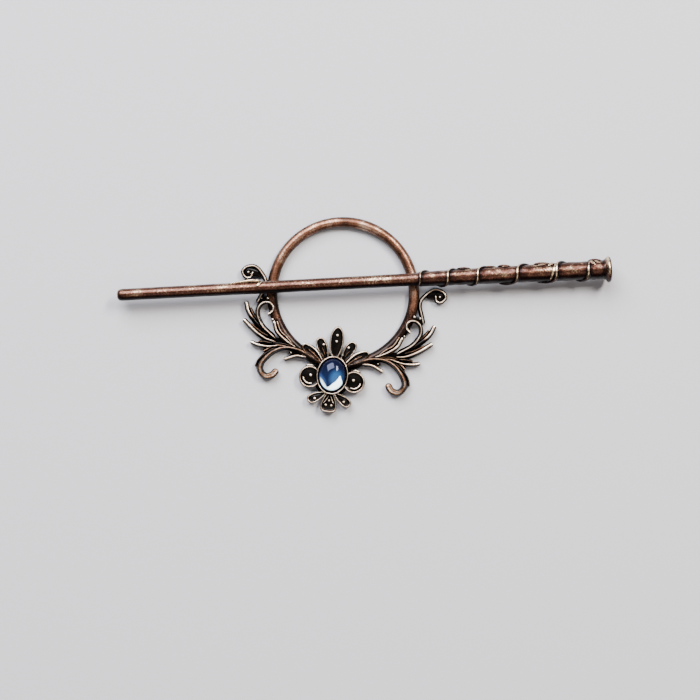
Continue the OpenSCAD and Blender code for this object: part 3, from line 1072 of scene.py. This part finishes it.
    def build(self, finish: bpy.types.Material) -> list[bpy.types.Object]:
        """Petals with their volutes, the beads, and the bezel, as three pieces.

        Args:
            finish: The metal.

        Returns:
            The pieces.
        """
        petals, beads = Surface(), Surface()
        for row in PETALS:
            for side in row.sides:
                self.petal(petals, row, side)
        for side in BOTH:
            self.volute(petals, side)
            for row in VEINS:
                self.vein(petals, row, side)
        height = self.floor_h + self.bead_up
        for row in ROSETTE_BEADS:
            for side in row.sides:
                ball(beads, self.place(row.at, side), row.size * self.bead_d, height)
        surfaces = {"rosette_petals": petals, "rosette_beads": beads, "bezel": self.bezel()}
        return [settle(surface.piece(name, finish), Body.RING, Node.CASTING)
                for name, surface in surfaces.items()]


# The stick

# Shares of the handle's length at which the vine crosses its front
VINE_FRONTS = (0.006, 0.150, 0.305, 0.511, 0.714, 0.88)

# The stick's rounded tip: place along it and radius, as shares of its tip's diameter
TIP = ((0, 0.02), (0.008, 0.12), (0.03, 0.24), (0.08, 0.35), (0.16, 0.43), (0.28, 0.48), (0.45, 0.5))

# The groove before the flare: place from the handle's end, and depth below its radius
GROOVE = ((0.15, 0.10), (0.35, 0.12))

# The flare: place from its start and distance in from its edge, as shares of its thickness
FLARE = ((0.0, 0.46), (0.10, 0.43), (0.20, 0.38), (0.30, 0.28), (0.40, 0.17), (0.47, 0.09),
         (0.54, 0.03), (0.60, 0.005), (0.66, 0.0), (0.74, 0.02), (0.82, 0.06), (0.89, 0.12),
         (0.95, 0.20), (1.0, 0.32))


@dataclass(frozen=True)
class Leaf:
    """A leaf or bud that lies on the stick, from its root to its tip.

    start and end are places as shares of the handle's length, or of the shaft's if on_shaft,
    and angles from the front towards +Y in degrees. width and rise are shares of the vine's,
    bow is how far its middle swings round the stick in degrees, a larger peak puts its widest
    place nearer to its tip, and lean moves the polished line off its crest, in radians, as a
    painted highlight.
    """

    start: Pair
    end: Pair
    width: float
    rise: float
    bow: float = 0.0
    peak: float = 0.8
    lean: float = 0.0
    on_shaft: bool = False


LEAVES = (
    Leaf((0.198, 92), (0.270, 78), 1.1, 1.1),
    Leaf((0.342, 90), (0.402, 80), 0.9, 0.9),
    Leaf((0.412, 88), (0.478, 74), 1.0, 1.1),
    Leaf((0.432, 62), (0.478, 72), 0.6, 0.5),
    Leaf((0.600, 86), (0.682, 72), 1.2, 1.1),
    Leaf((0.620, 54), (0.676, 66), 0.7, 0.5),
    Leaf((0.712, 56), (0.676, -64), 0.85, 0.9, bow=4),
    Leaf((0.708, 66), (0.672, 42), 1.0, 0.8, bow=4),
    Leaf((0.884, 62), (0.916, 30), 1.0, 0.7, bow=5),
    Leaf((0.910, 68), (0.940, 42), 0.8, 0.5),
    Leaf((0.884, 90), (0.950, 78), 1.2, 1.1),
    Leaf((0.488, 270), (0.416, 262), 1.3, 1.2),
    Leaf((0.690, 270), (0.614, 262), 1.3, 1.2),
    Leaf((0.866, 268), (0.820, 262), 1.1, 0.9),
    # This leaf's polished line is turned off its crest as a painted highlight.
    Leaf((0.372, 64), (0.480, 66), 0.75, 2.1, peak=1.9, lean=-0.8, on_shaft=True),
    Leaf((0.462, 10), (0.484, 60), 0.7, 0.7, on_shaft=True),
)


@dataclass
class Stick:
    """The tapered stick: a plain shaft, a handle wound with a vine, and a flared end.

    shoulder is half the run over which shaft turns into handle. clear is how far the handle
    lies from the ring along the stick, and gap how far the shaft lies over it. The vine starts
    and ends vine_lead of a turn beyond its first and last front, has the share vine_thin of
    its width at its start, and its two shares of vine_ease make it stand steep across the
    front. sunk is how deep its foot goes. turn is the stick's angle to X in degrees, and
    offset its distance from the ring's centre. Dents on shaft and handle are about shaft_dent
    and grip_dent deep, over waves of about long_l, and of short_l too on the handle. worn is
    the polish of the rubbed band, a painted highlight towards the front and +Y that fades to
    painted shade on the lower side, rim_worn what the flare's rim adds to it at most, and
    end_worn the end face's. The vine's width wanders by about the share vine_uneven, over
    waves of up to vine_uneven_l, with a turn taken as vine_turn_l long.
    """

    ring: RingWire
    length: float = 148.2
    tip_d: float = 3.6
    shaft_d: float = 3.9
    handle_d: float = 4.6
    grip_d: float = 5.9
    handle_l: float = 57.6
    flare_d: float = 7.9
    flare_t: float = 2.1
    flare_run: float = 0.3
    shoulder: float = 0.6
    clear: float = 0.1
    vine_w: float = 1.3
    vine_rise: float = 0.55
    vine_lead: float = 0.2
    vine_ease: Pair = (0.5, 0.43)
    vine_thin: float = 0.7
    sunk: float = 0.3
    turn: float = 10.4
    offset: float = 2.9
    gap: float = 0.1
    shaft_dent: float = 0.02
    grip_dent: float = 0.045
    long_l: float = 7.0
    short_l: float = 2.2
    worn: float = 0.58
    rim_worn: float = 0.4
    end_worn: float = 0.34
    vine_uneven: float = 0.10
    vine_uneven_l: float = 11.0
    vine_turn_l: float = 16.0

    @property
    def shaft_l(self) -> float:
        """Length of the plain shaft."""
        return self.length - self.handle_l

    @property
    def flare_s(self) -> float:
        """Place along the stick at which the flare starts."""
        return self.length - self.flare_t

    def radius(self, s: Array) -> Array:
        """The plain stick's radius, out to the flare.

        It grows evenly along the shaft and along the handle, and is eased from one to the
        other.

        Args:
            s: Place along the stick from its tip.

        Returns:
            The radii.
        """
        shaft = mix(self.tip_d, self.shaft_d, s / self.shaft_l)
        grip = mix(self.handle_d, self.grip_d, (s - self.shaft_l) / (self.handle_l - self.flare_t))
        step = smooth((s - self.shaft_l + self.shoulder) / (2 * self.shoulder))
        return mix(shaft, grip, step) / 2

    def on(self, s: Array, angle: Array, radius: Array) -> Array:
        """Points about the stick's axis, put where the stick lies.

        Args:
            s: Place along the stick from its tip.
            angle: Angle from the front towards +Y, in radians.
            radius: Distance from the axis.

        Returns:
            Points in the shared frame.
        """
        half_chord = math.sqrt(self.ring.radius ** 2 - self.offset ** 2)
        x = s - (self.shaft_l - half_chord - self.clear)
        y = self.offset + radius * np.sin(angle)
        z = self.ring.top + self.shaft_d / 2 + self.gap + radius * np.cos(angle)
        lean = math.radians(self.turn)
        return grid(x * math.cos(lean) - y * math.sin(lean),
                    x * math.sin(lean) + y * math.cos(lean), z)

    def vine_place(self, turns: Array) -> Array:
        """Place of the vine along the stick after a number of turns.

        Between two crossings of the front it follows the turns less a sine of the angle and
        one of twice the angle, so that it stands steep across the front and runs along at the
        sides.

        Args:
            turns: Turns since the first crossing.

        Returns:
            Distances from the stick's tip.
        """
        fronts = np.array(VINE_FRONTS)
        index = np.clip(np.floor(turns), 0, len(fronts) - 2).astype(int)
        twice, once = self.vine_ease
        eased = (turns - index - twice * np.sin(2 * TURN * turns) / (2 * TURN)
                 - once * np.sin(TURN * turns) / TURN)
        return self.shaft_l + self.handle_l * mix(fronts[index], fronts[index + 1], eased)

    def shade(self, s: Array, angle: Array) -> Array:
        """Dark beside the vine, from 0 to 1: patina that stays in the corners, and painted shadow.

        It is a bell curve of the distance to the nearest winding, a little off its middle, to the
        side where the painted shadow falls.

        Args:
            s: Place along the stick.
            angle: Angle from the front towards +Y, in radians.

        Returns:
            Shares of shade.
        """
        last, nowhere, aside = len(VINE_FRONTS) - 1, 99.0, 0.25
        windings = np.arange(-1, last + 2) + (angle[..., None] / TURN)
        inside = (windings > -self.vine_lead) & (windings < last + self.vine_lead)
        away = np.abs(s[..., None] - self.vine_place(windings) - aside)
        return bell(np.where(inside, away, nowhere).min(axis=-1), 0.0, 0.95)

    def rubbed(self, angle: Array) -> Array:
        """Returns a share of painted light at angles round the stick: full towards the front and +Y,
        falling as painted shade to a quarter below and behind.
        """
        return mix(0.25, 1.0, smooth((np.cos(angle - 0.5) + 0.1) / 0.5))

    def outline(self) -> tuple[Array, Array]:
        """The outline of rounded tip, shaft, handle, groove and flare.

        Returns:
            Places along the stick and radii, as columns.
        """
        tip, groove = np.array(TIP) * self.tip_d, np.array(GROOVE)
        flare = np.array(FLARE) * self.flare_t
        shaft_s = np.linspace(tip[-1, 0] + 0.3, self.shaft_l - 1, 200)
        grip_s = np.linspace(self.shaft_l - 0.9, self.flare_s - self.flare_t * self.flare_run, 330)
        plain = np.concatenate([shaft_s, grip_s])
        s = np.concatenate([
            tip[:, 0], plain, grip_s[-1] + groove[:, 0], self.flare_s + flare[:, 0]])
        r = np.concatenate([tip[:, 1], self.radius(plain), self.grip_d / 2 - groove[:, 1],
                            self.flare_d / 2 - flare[:, 1]])
        return s[:, None], r[:, None]

    def body(self, finish: bpy.types.Material) -> bpy.types.Object:
        """The outline turned about the stick's axis.

        Shallow dents make the shaft a little uneven and the handle rugged, as on a hand-carved
        master. A band is rubbed, less on the handle, in the flare's hollow and in the painted
        shadow beside the vine. The band faces the front and +Y and fades to none on the lower
        side and back: a painted highlight above and painted shade below. A bell curve brightens
        the flare's rim, partly wear and partly a painted highlight, and the end face is rubbed by
        a third.

        Args:
            finish: The metal.

        Returns:
            The piece.
        """
        s, r = self.outline()
        turn, past = angles(56)[None, :], s - self.flare_s
        true = grid(s, r * np.cos(turn), r * np.sin(turn))
        long, short = dimples(true, self.long_l, 11), dimples(true, self.short_l, 12)
        rugged = smooth((s - self.shaft_l) / 2) * smooth((self.flare_s - 1.2 - s) / 1.5)
        plain = smooth((s - 1.5) / 3) * (1 - rugged)
        dents = (self.shaft_dent * plain * (1 + long / 3)
                 + self.grip_dent * rugged * (1.6 + (long + short) / 2))
        shade, end = self.shade(s + 0 * turn, turn + 0 * s), smooth((past - 1.5) / 0.5)
        band = self.worn + 0.04 * long - rugged * (0.04 + 0.05 * short)
        # Painted light and shade: the band is bright where the stick faces the front and +Y, and
        # fades to none on its lower side and back.
        band = band * smooth((np.cos(turn - 0.5) - 0.05) / 0.8)
        # Painted shadow beside the vine, and patina in the flare's hollow.
        band = band * (1 - 0.9 * shade) * (1 - 0.85 * bell(past, -0.25, 0.4)) * (1 - end)
        # The flare's rim is brightened, partly wear and partly a painted highlight, and rubbed()
        # paints shade on its lower side.
        rim = bell(past, 1.15, 0.38) * self.rubbed(turn)
        surface = Surface()
        surface.add(self.on(s, turn, r - np.maximum(dents, 0)),
                    np.clip(band + self.rim_worn * rim + self.end_worn * end, 0, 1))
        piece = surface.piece("stick_body", finish)
        return settle(piece, Body.STICK, Node.STICK)

    def ribbon(self, surface: Surface, s: Array, angle: Array, width: Array, rise: Array,
               shine: float = 1.0, crease: float = 0.0, painted_shade_side: float = 0.0,
               lean: float = 0.0) -> None:
        """Adds a round-topped ribbon laid on the stick.

        The stick's skin is unrolled, with arcs as lengths, and the ribbon's width is taken
        square to its line there. Its top is a flattened half round, and its foot is sunk.

        Args:
            surface: Where to add it.
            s: Place of its line along the stick.
            angle: Angle of its line from the front towards +Y, in radians.
            width: Its width at each point.
            rise: Its height over the skin at each point.
            shine: Share of polish on its top.
            crease: Depth of a middle line as a share of the rise.
            painted_shade_side: Share of the polish that its far side lacks, as painted shade.
            lean: Angle by which the polished line lies off the crest, as a painted highlight.
        """
        r = self.radius(s)
        along = headings(np.stack([s, angle * r], axis=1))
        over = np.linspace(math.pi, 0, 13)
        place = np.concatenate([[-0.5], 0.5 * np.cos(over), [0.5]])[None, :] * width[:, None]
        bump = np.sin(over) ** 0.8 * (1 - crease * bell(np.cos(over), 0.0, 0.22))
        foot = np.full((len(s), 1), -self.sunk)
        proud = np.concatenate([foot, rise[:, None] * bump, foot], axis=1)
        s_grid = s[:, None] - along[:, 1:] * place
        angle_grid = angle[:, None] + along[:, :1] * place / r[:, None]
        bright = np.clip(np.sin(over + lean), 0, 1) ** 1.5 * shine
        # Painted shade: the far side of the ribbon keeps less polish.
        bright *= 1 - painted_shade_side * smooth((0.3 - np.cos(over)) / 0.9)
        polish = np.concatenate([[0.0], bright, [0.0]])
        points = self.on(s_grid, angle_grid, self.radius(s_grid) + proud)
        # Painted shade: the polish falls to a quarter on the stick's lower side and back.
        surface.add(points, polish * self.rubbed(angle)[:, None])

    def vine(self, finish: bpy.types.Material) -> bpy.types.Object:
        """A ribbon wound left-handed along the handle, wider towards the flare.

        Args:
            finish: The metal.

        Returns:
            The piece.
        """
        last = len(VINE_FRONTS) - 1
        turns = np.linspace(-self.vine_lead, last + self.vine_lead, 620)
        share = np.linspace(0, 1, len(turns))
        ends = np.minimum(share, 1 - share) * len(VINE_FRONTS)
        taper = mix(0.3, 1.0, smooth(ends / 0.3)) * mix(self.vine_thin, 1.0, share)
        uneven = 1 + self.vine_uneven * waver(turns * self.vine_turn_l, self.vine_uneven_l, 21)
        surface = Surface()
        # The vine's far side keeps less polish, as painted shade.
        self.ribbon(surface, self.vine_place(turns), TURN * turns, self.vine_w * taper * uneven,
                    self.vine_rise * taper, painted_shade_side=0.8)
        piece = surface.piece("stick_vine", finish)
        return settle(piece, Body.STICK, Node.STICK)

    def leaves(self, finish: bpy.types.Material) -> bpy.types.Object:
        """Pointed blades and buds: ribbons whose width and height follow a skewed half sine.

        Args:
            finish: The metal.

        Returns:
            The piece.
        """
        surface = Surface()
        share = np.linspace(0, 1, 40)
        for row in LEAVES:
            swell = np.sin(math.pi * share ** row.peak) ** 0.75
            start, run = (0.0, self.shaft_l) if row.on_shaft else (self.shaft_l, self.handle_l)
            s = start + run * mix(row.start[0], row.end[0], share)
            bow = row.bow * np.sin(math.pi * share)
            angle = np.radians(mix(row.start[1], row.end[1], share) + bow)
            self.ribbon(surface, s, angle, self.vine_w * row.width * (0.08 + 0.92 * swell),
                        self.vine_rise * row.rise * (0.1 + 0.9 * swell), 0.9, 0.35,
                        lean=row.lean)
        piece = surface.piece("stick_leaves", finish)
        return settle(piece, Body.STICK, Node.STICK)

    def build(self, finish: bpy.types.Material) -> list[bpy.types.Object]:
        """Returns the stick's body, its vine and its leaves, as three pieces."""
        return [self.body(finish), self.vine(finish), self.leaves(finish)]


# Finishes

# Node settings: a range that is eased at both ends, and a mix of two colours
EASED = {"interpolation_type": "SMOOTHSTEP"}
COLOURS = {"data_type": "RGBA"}


def linear(colour: str) -> tuple[float, float, float, float]:
    """Turns an sRGB hex colour into the linear colour that a shader takes.

    Args:
        colour: Six hex digits after a hash sign.

    Returns:
        Red, green, blue and a full alpha.
    """
    share = np.array([int(colour[i:i + 2], 16) for i in (1, 3, 5)]) / 255
    value = np.where(share <= 0.04045, share / 12.92, ((share + 0.055) / 1.055) ** 2.4)
    return (*value.tolist(), 1.0)


def add(tree: bpy.types.NodeTree, kind: str, settings: dict[str, Any] | None = None,
        inputs: dict[Any, Any] | None = None) -> bpy.types.Node:
    """Adds a node with its settings, and sets or links its inputs.

    Args:
        tree: The material's tree.
        kind: The node's type, without its ShaderNode prefix.
        settings: Properties of the node.
        inputs: For each input's name or number, a value, or the output that feeds it.

    Returns:
        The node.
    """
    node = tree.nodes.new("ShaderNode" + kind)
    for name, value in (settings or {}).items():
        setattr(node, name, value)
    for name, value in (inputs or {}).items():
        if isinstance(value, bpy.types.NodeSocket):
            tree.links.new(value, node.inputs[name])
        else:
            node.inputs[name].default_value = value
    return node


def blank(name: str) -> tuple[bpy.types.Material, bpy.types.NodeTree]:
    """Makes a material with an empty tree.

    Args:
        name: Its name.

    Returns:
        The material and its tree.
    """
    material = bpy.data.materials.new(name)
    material.use_nodes = True
    material.node_tree.nodes.clear()
    return material, material.node_tree


@dataclass(frozen=True)
class AntiquedMetal:
    """Zinc alloy casting, plated, blackened and rubbed back on its high places.

    The black stays in the hollows, the plate's own colour shows on the flanks, and the rubbed
    crests give the eye thin pale lines. stops are the shares of polish at which the four
    colours stand. mottle and fleck are how far patches and pits shift the polish, rough is the
    roughness at no and at full polish, lacquer is a clear, worn coat, and dent_mm is how high
    the bumps stand.
    """

    name: str
    hollow: str
    flank: str
    plate: str
    crest: str
    stops: tuple[float, ...] = (0.0, 0.32, 0.62, 0.98)
    mottle_mm: float = 2.6
    pit_mm: float = 0.4
    mottle: float = 0.11
    fleck: float = 0.10
    rough: Pair = (0.55, 0.27)
    lacquer: float = 0.2
    lacquer_rough: float = 0.22
    dent_mm: float = 0.12

    def build(self) -> bpy.types.Material:
        """Colour, roughness and pits from the polish attribute and two noises.

        Returns:
            The material.
        """
        material, tree = blank(self.name)
        place = add(tree, "TexCoord").outputs["Object"]
        # The polish attribute is wear, and on the ring wire and the stick also painted light and
        # shade.
        polish = add(tree, "Attribute", {"attribute_name": "polish"}).outputs["Fac"]
        mottle = add(tree, "TexNoise", {}, {
            "Vector": place, "Scale": 1 / (self.mottle_mm * MM), "Detail": 5.0,
            "Roughness": 0.62, "Distortion": 0.4}).outputs["Fac"]
        pits = add(tree, "TexNoise", {}, {
            "Vector": place, "Scale": 1 / (self.pit_mm * MM), "Detail": 3.0,
            "Roughness": 0.55}).outputs["Fac"]
        patch = add(tree, "MapRange", {}, {
            "Value": mottle, "From Min": 0.3, "From Max": 0.7, "To Min": -self.mottle,
            "To Max": self.mottle}).outputs["Result"]
        speck = add(tree, "MapRange", {}, {
            "Value": pits, "From Min": 0.35, "From Max": 0.65, "To Min": -self.fleck,
            "To Max": self.fleck}).outputs["Result"]
        both = add(tree, "Math", {"operation": "ADD"}, {0: patch, 1: speck}).outputs[0]
        worn = add(tree, "Math", {"operation": "ADD", "use_clamp": True},
                   {0: polish, 1: both}).outputs[0]
        ramp = add(tree, "ValToRGB", {}, {"Fac": worn})
        places = ramp.color_ramp.elements
        while len(places) < len(self.stops):
            places.new(0.5)
        colours = (self.hollow, self.flank, self.plate, self.crest)
        for stop, at, colour in zip(places, self.stops, colours):
            stop.position = at
            stop.color = linear(colour)
        rough = add(tree, "MapRange", {}, {
            "Value": worn, "From Min": 0.0, "From Max": 1.0, "To Min": self.rough[0],
            "To Max": self.rough[1]}).outputs["Result"]
        dents = add(tree, "Math", {"operation": "MULTIPLY_ADD"},
                    {0: pits, 1: 0.45, 2: mottle}).outputs[0]
        bump = add(tree, "Bump", {}, {"Strength": 0.35, "Distance": self.dent_mm * MM,
                                      "Height": dents}).outputs["Normal"]
        shader = add(tree, "BsdfPrincipled", {}, {
            "Base Color": ramp.outputs["Color"], "Metallic": 1.0, "Roughness": rough,
            "Normal": bump, "Coat Weight": self.lacquer, "Coat Roughness": self.lacquer_rough})
        add(tree, "OutputMaterial", {}, {"Surface": shader.outputs["BSDF"]})
        return material


@dataclass(frozen=True)
class FoiledGlass:
    """Pressed blue glass with a silvered back, polished to a dome.

    Light that comes in at the top gathers at the bottom, and that light is painted into the
    colour: the dark blue head is painted shade, over a clear blue middle, and the wide,
    sharp-edged pale crescent at the foot is a painted caustic that also shines by emission,
    though the stone is no lamp, with a painted_haze of light over its left part. Places are
    shares of the stone's half width and half length from its middle. Of a pair, a change
    starts at the first and ends at the second: head_y turns head to deep, clear_r is the clear
    patch's radius about clear_at, painted_haze_x and painted_haze_under bring the painted_haze,
    and foot_r ends the crescent about foot_at. glow_edge is the crescent's upper edge,
    glow_soft how far under it the crescent is full and how much further on the left,
    glow_power how strongly it shines by emission, and stir how far a noise moves the places.
    """

    name: str
    stone: Cabochon
    head: str = "#0c1023"
    deep: str = "#121d38"
    clear: str = "#284d78"
    painted_haze: str = "#2c4674"
    glow: str = "#dcf9ff"
    gloss_tint: str = "#aebae6"
    stir: float = 0.10
    head_y: Pair = (0.6, -0.3)
    clear_at: Triple = (0.32, -0.16, 0.0)
    clear_r: Pair = (0.68, 0.20)
    painted_haze_x: Pair = (-0.2, -0.45)
    painted_haze_under: Pair = (-0.15, 0.02)
    foot_at: Triple = (0.0, 0.04, 0.0)
    foot_r: Pair = (0.97, 0.88)
    glow_edge: Line = (
        (-1.0, -0.10), (-0.85, -0.18), (-0.68, -0.30), (-0.50, -0.45), (-0.36, -0.61),
        (-0.28, -0.71), (0.08, -0.48), (0.30, -0.32), (0.46, -0.14), (0.60, 0.03),
        (0.70, -0.12), (0.84, -0.45), (1.0, -0.75))
    glow_soft: Pair = (0.035, 0.11)
    glow_power: float = 3.3

    def places(self, tree: bpy.types.NodeTree) -> tuple[bpy.types.NodeSocket, bpy.types.NodeSocket]:
        """Places within the stone's outline, as they are and stirred a little by a noise.

        Args:
            tree: The material's tree.

        Returns:
            The true places and the stirred ones.
        """
        half = np.array([self.stone.width, self.stone.length]) / 2 * MM
        centre = self.stone.centre * MM / half
        place = add(tree, "Mapping", {}, {
            "Vector": add(tree, "TexCoord").outputs["Object"],
            "Location": (-centre[0], -centre[1], 0.0),
            "Scale": (1 / half[0], 1 / half[1], 0.0)}).outputs["Vector"]
        cloud = add(tree, "TexNoise", {}, {
            "Vector": place, "Scale": 2.2, "Detail": 3.0, "Roughness": 0.55})
        stir = add(tree, "VectorMath", {"operation": "MULTIPLY_ADD"}, {
            0: cloud.outputs["Color"], 1: (self.stir, self.stir, 0.0),
            2: (-self.stir / 2, -self.stir / 2, 0.0)})
        moved = add(tree, "VectorMath", {"operation": "ADD"}, {
            0: place, 1: stir.outputs["Vector"]}).outputs["Vector"]
        return place, moved

    def under(self, tree: bpy.types.NodeTree, across: bpy.types.NodeSocket,
              up: bpy.types.NodeSocket) -> bpy.types.NodeSocket:
        """How far a place lies under the glow's upper edge, in shares of the stone's length.

        Args:
            tree: The material's tree.
            across: X of the places.
            up: Their Y.

        Returns:
            The distance, below 0 over the edge.
        """
        across = add(tree, "MapRange", {}, {"Value": across, "From Min": -1.0, "From Max": 1.0})
        edge = add(tree, "FloatCurve", {}, {"Value": across.outputs["Result"]})
        points = edge.mapping.curves[0].points
        while len(points) < len(self.glow_edge):
            points.new(0.5, 0.5)
        for point, (x, y) in zip(points, self.glow_edge):
            point.location = ((x + 1) / 2, (y + 1) / 2)
            point.handle_type = "AUTO_CLAMPED"
        edge.mapping.update()
        rise = add(tree, "MapRange", {}, {"Value": up, "From Min": -1.0, "From Max": 1.0})
        return add(tree, "Math", {"operation": "SUBTRACT"}, {
            0: edge.outputs["Value"], 1: rise.outputs["Result"]}).outputs[0]

    def build(self) -> bpy.types.Material:
        """Colours from the place within the stone's outline, under a clear polished dome.

        Each colour is laid over the one before by its own share, from painted shade at the head
        down to the painted crescent of light at the foot. The crescent's left part fades out softly
        into the painted_haze that stands over it, and the crescent stops short of the stone's edge.

        Returns:
            The material.
        """
        material, tree = blank(self.name)
        place, moved = self.places(tree)
        parts = add(tree, "SeparateXYZ", {}, {0: moved})
        across, up = parts.outputs["X"], parts.outputs["Y"]
        under = self.under(tree, across, up)
        near, out = (
            add(tree, "VectorMath", {"operation": "DISTANCE"}, {0: here, 1: at}).outputs["Value"]
            for here, at in ((moved, self.clear_at), (place, self.foot_at)))
        low, clear, left, veil, inner = (
            add(tree, "MapRange", EASED, {
                "Value": value, "From Min": start, "From Max": end}).outputs["Result"]
            for value, (start, end) in (
                (up, self.head_y), (near, self.clear_r), (across, self.painted_haze_x),
                (under, self.painted_haze_under), (out, self.foot_r)))
        fade = add(tree, "Math", {"operation": "MULTIPLY_ADD"},
                   {0: left, 1: self.glow_soft[1], 2: self.glow_soft[0]}).outputs[0]
        lit = add(tree, "MapRange", EASED, {
            "Value": under, "From Min": -0.01, "From Max": fade}).outputs["Result"]
        painted_haze_share, glow = (
            add(tree, "Math", {"operation": "MULTIPLY"}, {0: first, 1: second}).outputs[0]
            for first, second in ((veil, left), (lit, inner)))
        # Painted shade at the head, then layers down to the painted crescent of light at the foot.
        colour = linear(self.head)
        for share, over in ((low, self.deep), (clear, self.clear), (painted_haze_share, self.painted_haze),
                            (glow, self.glow)):
            colour = add(tree, "Mix", COLOURS, {
                0: share, 6: colour, 7: linear(over)}).outputs[2]
        # Painted light: the crescent's colour feeds the emission, so it shines though the stone is
        # no lamp.
        gathered = add(tree, "Mix", COLOURS, {
            0: glow, 6: (0.0, 0.0, 0.0, 1.0), 7: linear(self.glow)}).outputs[2]
        shader = add(tree, "BsdfPrincipled", {}, {
            "Base Color": colour, "Metallic": 0.0, "Roughness": 0.05, "IOR": 1.43,
            "Specular Tint": linear(self.gloss_tint), "Emission Color": gathered,
            "Emission Strength": self.glow_power})
        add(tree, "OutputMaterial", {}, {"Surface": shader.outputs["BSDF"]})
        return material


@dataclass(frozen=True)
class Paper:
    """Matt card under the object: pale, with a faint fibre that keeps it from looking empty."""

    name: str = "matt_card"
    colour: str = "#bcbec3"
    fibre_mm: float = 0.6
    fibre_h_mm: float = 0.1

    def build(self) -> bpy.types.Material:
        """A flat colour with bumps from one fine noise.

        Returns:
            The material.
        """
        material, tree = blank(self.name)
        fibre = add(tree, "TexNoise", {}, {
            "Vector": add(tree, "TexCoord").outputs["Object"],
            "Scale": 1 / (self.fibre_mm * MM), "Detail": 4.0}).outputs["Fac"]
        bump = add(tree, "Bump", {}, {"Strength": 0.05, "Distance": self.fibre_h_mm * MM,
                                      "Height": fibre}).outputs["Normal"]
        shader = add(tree, "BsdfPrincipled", {}, {
            "Base Color": linear(self.colour), "Roughness": 0.85, "Normal": bump})
        add(tree, "OutputMaterial", {}, {"Surface": shader.outputs["BSDF"]})
        return material


# The studio

@dataclass(frozen=True)
class SoftLight:
    """An oblong soft light, with lengths in metres.

    place is where it stands, size its width and height, power in watts, and spin its turn
    about its own line of sight in degrees.
    """

    name: str
    place: Triple
    size: Pair
    power: float
    colour: str
    spin: float = 0.0

    def build(self) -> None:
        """Adds the light, which faces the object."""
        data = bpy.data.lights.new(self.name, "AREA")
        data.shape = "RECTANGLE"
        data.size, data.size_y = self.size
        data.energy = self.power
        data.color = linear(self.colour)[:3]
        light = bpy.data.objects.new(self.name, data)
        light.location = self.place
        spin = Quaternion((0, 0, 1), math.radians(self.spin))
        aim = (-Vector(self.place)).to_track_quat("-Z", "Y")
        light.rotation_euler = (aim @ spin).to_euler()
        bpy.context.scene.collection.objects.link(light)


@dataclass
class Studio:
    """A pale card, soft lights and the camera, with lengths in metres.

    floor is the card's side. sight is where the camera stands in X and Y, distance its height,
    frame_w the width that it sees at the height plane, and roll its turn in degrees, which is
    the photograph's. air and air_power are the surround's colour and strength.
    """

    floor: float = 3.0
    sight: Pair = (0.004285, -0.01669)
    distance: float = 0.6
    frame_w: float = 0.21
    plane: float = 0.0045
    roll: float = 7.4
    air: str = "#9aa2b0"
    air_power: float = 0.26
    lights: tuple[SoftLight, ...] = (
        SoftLight("window", (-0.34, 0.64, 0.75), (0.78, 0.70), 37.0, "#f2f0f6"),
        SoftLight("lamp", (0.42, 0.50, 0.78), (0.20, 0.40), 16.0, "#fff5ea", 40.0),
        SoftLight("fill", (0.12, -0.42, 0.80), (1.00, 0.50), 2.2, "#ffe9da"),
    )

    def card(self) -> None:
        """Adds the floor."""
        half = self.floor / 2
        corners = [(-half, -half, 0), (half, -half, 0), (half, half, 0), (-half, half, 0)]
        mesh = bpy.data.meshes.new("card")
        mesh.from_pydata(corners, [], [(0, 1, 2, 3)])
        mesh.materials.append(Paper().build())
        card = bpy.data.objects.new("card", mesh)
        bpy.context.scene.collection.objects.link(card)

    def surround(self) -> None:
        """Adds the even, dim light that comes from all sides."""
        world = bpy.data.worlds.new("surround")
        world.use_nodes = True
        inputs = world.node_tree.nodes["Background"].inputs
        inputs["Color"].default_value = linear(self.air)
        inputs["Strength"].default_value = self.air_power
        bpy.context.scene.world = world

    def camera(self) -> None:
        """Adds the camera that looks straight down, turned as the photograph is."""
        data = bpy.data.cameras.new("camera")
        data.sensor_width = 36.0
        data.lens = data.sensor_width * (self.distance - self.plane) / self.frame_w
        camera = bpy.data.objects.new("camera", data)
        camera.location = (*self.sight, self.distance)
        camera.rotation_euler = (0.0, 0.0, math.radians(self.roll))
        bpy.context.scene.collection.objects.link(camera)
        bpy.context.scene.camera = camera

    def build(self) -> None:
        """Builds the card, the lights, the surround and the camera."""
        self.card()
        for light in self.lights:
            light.build()
        self.surround()
        self.camera()


def main() -> None:
    """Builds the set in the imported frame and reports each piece."""
    logging.basicConfig(level=logging.INFO, format="%(name)s: %(message)s")
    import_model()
    ring = RingWire()
    stone = Cabochon(ring)
    ring_metal = AntiquedMetal("antiqued_copper_plate", "#050302", "#21140f", "#7d5540",
                               "#ecd3ba").build()
    relief_metal = AntiquedMetal("blackened_relief_plate", "#040302", "#17110b", "#7f5b40",
                                 "#efe2cc", lacquer=0.4).build()
    stick_metal = AntiquedMetal("antiqued_bronze_plate", "#060303", "#26140f", "#5a3a2d",
                                "#ecd6ae", mottle_mm=2.4, pit_mm=0.45, mottle=0.07,
                                fleck=0.13, rough=(0.48, 0.22)).build()
    ring.build(ring_metal)
    for side in BOTH:
        Spray(ring, side).build(relief_metal)
    Rosette(ring, stone).build(relief_metal)
    stone.build(FoiledGlass("foiled_blue_glass_painted_glow", stone).build())
    Stick(ring).build(stick_metal)
    Studio().build()
    bpy.context.view_layer.update()


if __name__ == "__main__":
    main()
